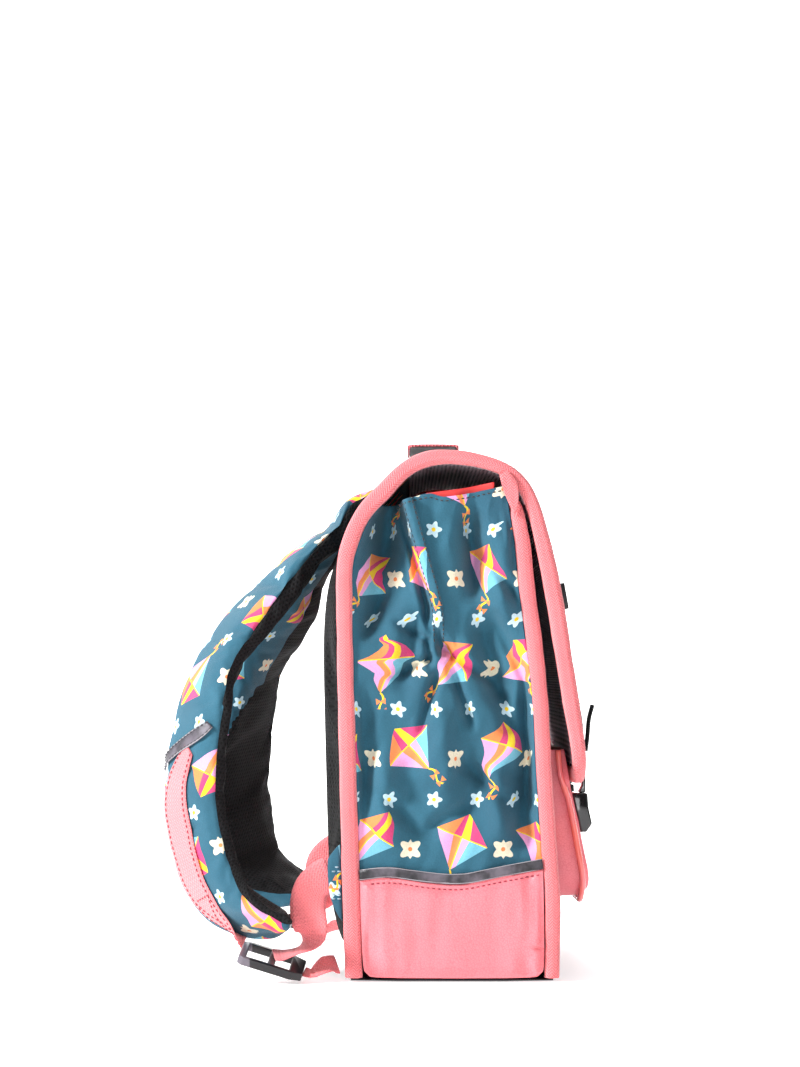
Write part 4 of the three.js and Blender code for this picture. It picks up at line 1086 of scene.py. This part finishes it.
def read_grid(ys, zs, grid, y, z):
    i = np.clip((z - zs[0]) / (zs[1] - zs[0]), 0, len(zs) - 1.001)
    j = np.clip((y - ys[0]) / (ys[1] - ys[0]), 0, len(ys) - 1.001)
    i0 = i.astype(int)
    j0 = j.astype(int)
    fi = i - i0
    fj = j - j0
    low = grid[i0, j0] * (1 - fj) + grid[i0, j0 + 1] * fj
    high = grid[i0 + 1, j0] * (1 - fj) + grid[i0 + 1, j0 + 1] * fj
    return low * (1 - fi) + high * fi


def tucked(y):
    """Spreads a side piece's edges under the bindings in front and behind."""
    middle = (y.min() + y.max()) / 2
    half = (y.max() - y.min()) / 2
    return middle + (y - middle) * (half + EDGE_TUCK) / half


def gusset(side, sign):
    piece = dressed("gusset_" + side, "gusset_cloth_" + side, "print", levels=3, sharp=30.0, crease=1.0)
    points = points_of(piece)
    if side == "right":
        behind = smoothly(points[:, 1], -24 * MM, 4 * MM) * (1 - smoothly(points[:, 1], 52 * MM, 66 * MM))
        points[:, 2] += FAR_RISE * behind * smoothly(points[:, 2], 0.29, 0.335)
    else:
        behind = smoothly(points[:, 1], 4 * MM, 16 * MM) * (1 - smoothly(points[:, 1], 52 * MM, 66 * MM))
        points[:, 2] += NEAR_RISE * behind * smoothly(points[:, 2], 0.29, 0.335)
    points[:, 1] = tucked(points[:, 1])
    y = points[:, 1]
    z = points[:, 2]
    levels, fronts, backs = edge_lines(points, z, y)
    from_edge = np.minimum(y - np.interp(z, levels, fronts), np.interp(z, levels, backs) - y)
    inside = smoothly(from_edge, 0.5 * MM, SIDE_EDGE)
    wrinkle = np.array([
        noise.noise(Vector((a * 38, b * 16, sign * 3.0)))
        + 0.45 * noise.noise(Vector((a * 95 + b * 40, b * 45, 7.0)))
        for a, b in zip(y, z)
    ])
    points[:, 0] -= sign * (side_depth(y, z) + wrinkle * SIDE_WRINKLE) * inside
    move_points(piece, points)
    face = SideFace(piece, sign)
    grid = arc_lengths(face, (y.min(), y.max()), (z.min(), z.max()))
    lay_out(piece, read_grid(*grid, y, z) * sign + sign * 0.4, z)

    places, lows, tops = edge_lines(points, y, z, 80)
    out = (sign, 0, 0)
    hem = [(a, top - HEM_DROP) for a, top in zip(places, tops)]
    pleat_y = PLEAT_LINE[-1][1] * MM
    runs = [(face.line([(a, b) for a, b in hem if fronts.min() + 4 * MM < a < pleat_y + PLEAT_HALF]), out)]
    for offset in (-0.72, 0.72):
        line = [(row[1] * MM + offset * PLEAT_HALF, row[0] * MM) for row in PLEAT_LINE[1:]]
        dense = denser(np.array(line), 12)
        runs.append((face.line([tuple(pair) for pair in dense if pair[1] < 0.342]), out))
    stitches("side_stitches_" + side, "dark_thread", runs)

    red = dressed("gusset_lining_" + side, "mouth_lining_" + side, "red", levels=2, sharp=40.0)
    points = points_of(red)
    points[:, 0] -= sign * (side_depth(points[:, 1], points[:, 2]) * 1.15 + 0.8 * MM)
    move_points(red, points)
    lay_out(red, points[:, 1], points[:, 2])


# Lower sides

LEATHER_STITCH_DROP = 3.6 * MM
LEATHER_PUFF = 2.6 * MM
LEATHER_WRINKLE = 2.4 * MM


def side_base(side, sign):
    piece = dressed("side_base_" + side, "side_leather_" + side, "leather", levels=1, sharp=30.0, crease=1.0)
    finer(piece, 4, "SIMPLE")
    points = points_of(piece)
    points[:, 1] = tucked(points[:, 1])
    y = points[:, 1]
    z = points[:, 2]
    outer = points[:, 0] * sign > np.median(np.abs(points[:, 0]))
    places, lows, tops = edge_lines(points, y, z)
    top = np.interp(y, places, tops)
    levels, fronts, backs = edge_lines(points, z, y)
    to_side = np.minimum(y - np.interp(z, levels, fronts), np.interp(z, levels, backs) - y)
    from_edge = np.minimum(np.minimum(to_side, top - z), z - z.min())
    puff = smoothly(from_edge, 0, 9 * MM)
    seam = np.exp(-(((top - z - LEATHER_STITCH_DROP) / (1.1 * MM)) ** 2))
    ends = 1 - smoothly(to_side, 6 * MM, 34 * MM)
    wrinkle = np.array(
        [noise.noise(Vector((a * 85, b * 22, sign * 5.0))) for a, b in zip(y, z)]
    ) * (0.5 + 1.1 * ends)
    rise = LEATHER_PUFF * puff + LEATHER_WRINKLE * wrinkle * smoothly(from_edge, 0, 5 * MM) - 0.7 * MM * seam
    points[:, 0] += sign * np.where(outer, rise, 0)
    move_points(piece, points)
    lay_out(piece, y * sign, z)
    face = SideFace(piece, sign)
    line = [(a, b - LEATHER_STITCH_DROP) for a, b in zip(places, tops)][1:-1]
    stitches("leather_stitches_" + side, "red_thread", [(face.line(line), (sign, 0, 0))])


def side_band(side, sign):
    piece = dressed(
        "reflective_band_" + side, "side_band_" + side, "reflective", levels=2, sharp=30.0, crease=1.0
    )
    points = points_of(piece)
    points[:, 1] = tucked(points[:, 1])
    move_points(piece, points)
    places, lows, tops = edge_lines(points, points[:, 1], points[:, 2], 24)
    low = np.interp(points[:, 1], places, lows)
    high = np.interp(points[:, 1], places, tops)
    share = (points[:, 2] - low) / (high - low)
    lay_out(piece, points[:, 1], share - 0.5)


# Shoulder straps

STRAP_AROUND = 44
STRAP_STEP = 3.2 * MM
STRAP_SQUARE = 0.62
STRAP_END = 12 * MM
STRAP_PRESSURE = 2.6
STRAP_SLACK = 0.035
STRAP_CAP = 3.2 * MM
SEAM_DEPTH = 1.1 * MM
PUCKER_DEPTH = 1.5 * MM
PUCKER_SCALE = 95.0
PUCKER_STEPS = 2.0
CREASE_DEPTH = 0.9 * MM
CREASE_SCALE = 32.0
# Steps round the edge from its outermost point to the seam: towards -X at the root and foot, and towards +X
STRAP_SEAM = {"left": (-2, -1, 2), "right": (11, 2, 2)}
STRAP_SEAM_SHARE = (0.45, 0.62)
# Steps from the outer face's middle to where the surface coordinates start again, under the mesh
STRAP_WRAP = 27
WEBBING_LIFT = 0.9 * MM
REFLECTOR_LIFT = 1.9 * MM
REFLECTOR_LEAN = 0.42
TAB_SEAMS = (57 * MM, 60 * MM, 76 * MM, 79 * MM)
BOX_SHARES = (0.72, 0.95)


def strap_rows(side):
    """Rings of points round the strap and its mesh together, and their distances along it."""
    line = Spine("shoulder_strap_" + side, (0, -1, 0.5), (0, 1, 0), flat=True)
    bm = node_mesh("strap_mesh_" + side)
    under = np.array([vertex.co[:] for vertex in bm.verts])
    bm.free()
    far, along, above = line.local(under)
    order = np.argsort(along)
    bins = np.linspace(0, line.length[-1], 16)
    place = np.clip(np.digitize(along[order], bins) - 1, 0, 14)
    used = [i for i in range(15) if (place == i).any()]
    middles = [along[order][place == i].mean() for i in used]
    floors = [above[order][place == i].min() for i in used]
    count = int(line.length[-1] / STRAP_STEP)
    stations = np.linspace(0, line.length[-1], count)
    wide = np.interp(stations, line.length, line.wide[:, 0])
    top = np.interp(stations, line.length, line.high[:, 0])
    low = np.interp(stations, middles, floors)
    from_end = np.minimum(stations, stations[-1] - stations)
    closing = np.sqrt(1 - (1 - np.clip(from_end / STRAP_END, 0, 1)) ** 2) * 0.6 + 0.4
    rows = []
    middle = (top + low) / 2
    half = (top - low) / 2 * closing
    for j in range(STRAP_AROUND):
        angle = 2 * math.pi * j / STRAP_AROUND
        c = math.copysign(abs(math.cos(angle)) ** STRAP_SQUARE, math.cos(angle))
        s = math.copysign(abs(math.sin(angle)) ** STRAP_SQUARE, math.sin(angle))
        rows.append(line.place(wide * c, stations, middle + half * s))
    return np.stack(rows, axis=1), stations


def part_of(piece, name, look, keep, u, v):
    """A new piece made of those faces of the piece that keep picks."""
    mesh = piece.data
    points = points_of(piece)
    faces = [tuple(face.vertices) for face in mesh.polygons if keep(face)]
    used = sorted({index for face in faces for index in face})
    renamed = {old: new for new, old in enumerate(used)}
    made = bpy.data.meshes.new(name)
    made.from_pydata(points[used].tolist(), [], [tuple(renamed[i] for i in face) for face in faces])
    part = shown(name, made, look)
    lay_out(part, u[used], v[used])
    return part


def strap(side, sign):
    rows, stations = strap_rows(side)
    count = len(stations)
    piece = shown("strap_form_" + side, tube_mesh("strap_form_" + side, rows), "print")
    out_facing(piece)
    share = stations / stations[-1]
    root, foot, other = STRAP_SEAM[side]
    quarter = STRAP_AROUND // 4
    near = quarter + np.round(root + (foot - root) * smoothly(share, *STRAP_SEAM_SHARE)).astype(int)
    around = (np.arange(STRAP_AROUND) - quarter) % STRAP_AROUND
    if rows[:, 0, 0].mean() < rows[:, 2 * quarter, 0].mean():
        around = (-around) % STRAP_AROUND
    far = STRAP_AROUND - quarter - other
    is_mesh = (around[None] > near[:, None]) & (around[None] < far)
    on_seam = (around[None] == near[:, None]) | (around[None] == far)
    ends = (np.arange(count) < 2) | (np.arange(count) > count - 3)
    pinned = (on_seam | ends[:, None]).ravel()
    puffed(piece, pinned, STRAP_PRESSURE, STRAP_CAP, STRAP_SLACK)
    points = points_of(piece)
    normals = normals_of(piece)
    steps_off = np.minimum(np.abs(around[None] - near[:, None]), np.abs(around[None] - far)).ravel()
    ripple = np.array([noise.noise(Vector(p) * PUCKER_SCALE + Vector((sign, 0, 0))) for p in points])
    broad = np.array([noise.noise(Vector(p) * CREASE_SCALE + Vector((0, sign, 0))) for p in points])
    height = PUCKER_DEPTH * ripple * np.exp(-steps_off / PUCKER_STEPS) + CREASE_DEPTH * broad
    points += normals * height[:, None]
    points[on_seam.ravel()] -= normals[on_seam.ravel()] * SEAM_DEPTH
    move_points(piece, points)
    shape = points.reshape(count, STRAP_AROUND, 3)
    steps = np.linalg.norm(np.diff(shape, axis=1, append=shape[:, :1]), axis=2)
    under = int(np.flatnonzero(around == STRAP_WRAP)[0])
    steps = np.roll(steps, -under, axis=1)
    u = np.concatenate([np.zeros((count, 1)), np.cumsum(steps, axis=1)[:, :-1]], axis=1)
    u = np.roll(u, under, axis=1)
    u = u - u[:, quarter][:, None]
    v = np.repeat(stations[:, None], STRAP_AROUND, axis=1) + 0.11 * sign
    mesh_points = is_mesh | on_seam
    flags = mesh_points.ravel()

    def in_mesh(face):
        return all(flags[i] for i in face.vertices)

    cloth = part_of(
        piece, "strap_cloth_" + side, "print", lambda face: not in_mesh(face), u.ravel(), v.ravel()
    )
    inner = part_of(piece, "strap_spacer_" + side, "mesh", in_mesh, u.ravel(), v.ravel())
    for part, node in ((cloth, "shoulder_strap_"), (inner, "strap_mesh_")):
        finer(part, 1)
        part.data.polygons.foreach_set("use_smooth", [True] * len(part.data.polygons))
        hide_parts(node + side)
    top, rise = ribbon(
        "strap_webbing_" + side, "strap_band_" + side, "webbing", (0, 0, 1), (0, 1, 0), piece,
        WEBBING_LIFT, 1.6 * MM
    )[1:]
    runs = []
    for j in (1, len(RIBBON_SPREAD) - 2):
        runs.append((top[:, j] + rise * 0.1 * MM, rise))
    start, stop = (int(len(top) * part) for part in BOX_SHARES)
    last = len(RIBBON_SPREAD) - 2
    for row in (start, stop):
        runs.append((top[row, 1 : last + 1] + rise[row] * 0.1 * MM, rise[row]))
    for first, second in ((1, last), (last, 1)):
        a, b = top[start, first], top[stop, second]
        rows_used = np.arange(start, stop + 1)
        picked = np.linspace(first, second, len(rows_used))
        low = np.floor(picked).astype(int)
        part = (picked - low)[:, None]
        crossing = top[rows_used, low] * (1 - part) + top[rows_used, np.minimum(low + 1, last)] * part
        runs.append((crossing + rise[rows_used] * 0.1 * MM, rise[rows_used]))
    stitches("band_stitches_" + side, "red_thread", runs)
    face = SideFace(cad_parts["side_tab_" + side], sign)
    runs = []
    for level in TAB_SEAMS:
        across = [(y, level) for y in np.linspace(77.2 * MM, 85.8 * MM, 6)]
        runs.append((face.line(across), (sign, 0, 0)))
    stitches("tab_stitches_" + side, "pale_thread", runs)
    band, top, rise = ribbon(
        "strap_reflector_" + side, "strap_flash_" + side, "reflective", (sign * -1, 0, 1), (0, 1, 0), piece,
        REFLECTOR_LIFT, 0.8 * MM, lean=REFLECTOR_LEAN,
    )
    runs = [(top[:, j] + rise * 0.1 * MM, rise) for j in (1, len(RIBBON_SPREAD) - 2)]
    stitches("flash_stitches_" + side, "grey_thread", runs)
    spread = np.concatenate([RIBBON_SPREAD, RIBBON_SPREAD[::-1]]) / 2
    lay_out(band, np.repeat(np.arange(len(top)), len(spread)) * RIBBON_STEP, np.tile(spread, len(top)))
    bpy.data.objects.remove(piece, do_unlink=True)


# Adjusting webbing and closures


CLOSURE_FREE = (176 * MM, 226 * MM)


def webbings(side, sign, flap):
    ribbon(
        "adjust_webbing_" + side, "pull_webbing_" + side, "grid_webbing", (0, -1, 0.5), (0, 1, 0),
        thick=1.7 * MM,
    )
    ribbon("adjust_tail_" + side, "loose_end_" + side, "grid_webbing", (0, 1, 0), (0, 0, 1), thick=1.7 * MM)
    ribbon(
        "closure_strap_" + side, "flap_strap_" + side, "black_webbing", (0, 0, 1), (0, -1, 0), flap, 1.4 * MM,
        free=CLOSURE_FREE,
    )
    ribbon(
        "closure_tail_" + side, "flap_strap_tail_" + side, "black_webbing", (0, 0, 1), (0, -1, 0),
        thick=2.5 * MM,
    )


# The pocket

POCKET_WRINKLE = 1.4 * MM


def pocket():
    piece = dressed("front_pocket", "pocket_leather", "leather", levels=3, sharp=50.0)
    points = points_of(piece)
    front = smoothly(-points[:, 1], 68 * MM, 84 * MM)
    roughened(piece, POCKET_WRINKLE, 26.0, 4.0, front)
    roughened(piece, 0.4 * POCKET_WRINKLE, 80.0, 9.0, front)
    lay_out(piece, points[:, 0], points[:, 2] - points[:, 1])


# The back pad

PAD_PRESSURE = 1.6
PAD_SLACK = 0.02
PAD_CAP = 2.5 * MM


def back_padding():
    piece = dressed("back_pad", "back_padding", "mesh", levels=2, sharp=50.0)
    points = points_of(piece)
    depth = points[:, 1] - points[:, 1].min()
    puffed(piece, depth < 5 * MM, PAD_PRESSURE, PAD_CAP, PAD_SLACK)
    points = points_of(piece)
    lay_out(piece, points[:, 0] + (points[:, 1] - points[:, 1].min()) * np.sign(points[:, 0]), points[:, 2])


HARD_BEVEL = 1.1 * MM
BUCKLE_BEVEL = 1.5 * MM


def plain_pieces():
    """Pieces that still have a plain finish."""
    plain = {
        "binding_end_": "tape", "base_panel": "plastic",
        "pocket_piping": "piping", "side_tab_": "print",
    }
    for node, look in (("carry_handle", "black_webbing"), ("handle_cover", "tape")):
        piece = dressed(node, node + "_dressed", look, levels=3)
        points = points_of(piece)
        lay_out(piece, points[:, 1], points[:, 0])
    hard = {
        "closure_slider_": "plastic",
        "closure_ring_": "plastic",
        "lock_tongue_": "lock",
        "ladder_lock_": "buckle",
    }
    for stem, look in plain.items():
        for node in [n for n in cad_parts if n.startswith(stem)]:
            piece = dressed(node, node + "_dressed", look)
            points = points_of(piece)
            lay_out(piece, points[:, 1], points[:, 2])
    for stem, look in {**hard, "lock_left": "lock", "lock_right": "lock"}.items():
        for node in [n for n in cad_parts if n.startswith(stem)]:
            width = BUCKLE_BEVEL if look == "buckle" else HARD_BEVEL
            piece = bevelled(node, node + "_dressed", look, width)
            points = points_of(piece)
            rearward = points[:, 1] - points[:, 1].min()
            lay_out(piece, points[:, 0], rearward / rearward.max())


# The scene


def background(name, corners, glow):
    mesh = bpy.data.meshes.new(name)
    mesh.from_pydata(corners, [], [(0, 1, 2, 3)])
    g = Graph(name, 0.9, Emission_Color=(1, 1, 1, 1), Emission_Strength=glow)
    g.colour(g.mix(g.step(g.grain(3.0), 0.3, 0.7), (0.9, 0.9, 0.9, 1), (0.92, 0.92, 0.92, 1)))
    mesh.materials.append(g.material)
    sheet = bpy.data.objects.new(name, mesh)
    bpy.context.scene.collection.objects.link(sheet)


def studio():
    data = bpy.data.cameras.new("camera")
    data.lens = CAMERA_LENS
    data.clip_start = 0.05
    camera = bpy.data.objects.new("camera", data)
    camera.location = CAMERA_PLACE
    camera.rotation_euler = (math.radians(90 + CAMERA_PITCH), 0, math.radians(-90))
    bpy.context.scene.collection.objects.link(camera)
    bpy.context.scene.camera = camera
    world = bpy.data.worlds.new("studio")
    world.use_nodes = True
    world.node_tree.nodes["Background"].inputs["Color"].default_value = (1, 1, 1, 1)
    world.node_tree.nodes["Background"].inputs["Strength"].default_value = WORLD_LIGHT
    bpy.context.scene.world = world
    for name, place, target, size, watts in LIGHTS:
        light = bpy.data.lights.new(name, "AREA")
        light.size = size
        light.energy = watts
        lamp = bpy.data.objects.new(name, light)
        lamp.location = place
        lamp.rotation_euler = (Vector(target) - Vector(place)).to_track_quat("-Z", "Y").to_euler()
        bpy.context.scene.collection.objects.link(lamp)
    half = FLOOR_SIZE / 2
    level = -0.2 * MM
    corners = [(-half, -half, level), (half, -half, level), (half, half, level), (-half, half, level)]
    background("pale_floor", corners, FLOOR_GLOW)
    wide = BACKDROP_HALF
    away = BACKDROP_PLACE
    corners = [
        (away, -wide, level),
        (away, wide, level),
        (away, wide, BACKDROP_HEIGHT),
        (away, -wide, BACKDROP_HEIGHT),
    ]
    background("pale_backdrop", corners, BACKDROP_GLOW)
    bpy.context.scene.view_settings.view_transform = "Standard"


studio()
sheet = long_sheet()
bound_edge("edge_binding", "edge_binding_tape", (-0.5, 0.3, -1), (0, 1, 0), 1)
under_flap()
front_sheet()
bound_edge("front_binding", "front_binding_tape", (-0.5, -0.3, -1), (0, -1, 0), -1)
for side, sign in LEFT_AND_RIGHT:
    gusset(side, sign)
    side_base(side, sign)
    side_band(side, sign)
    strap(side, sign)
    webbings(side, sign, sheet)
pocket()
back_padding()
plain_pieces()
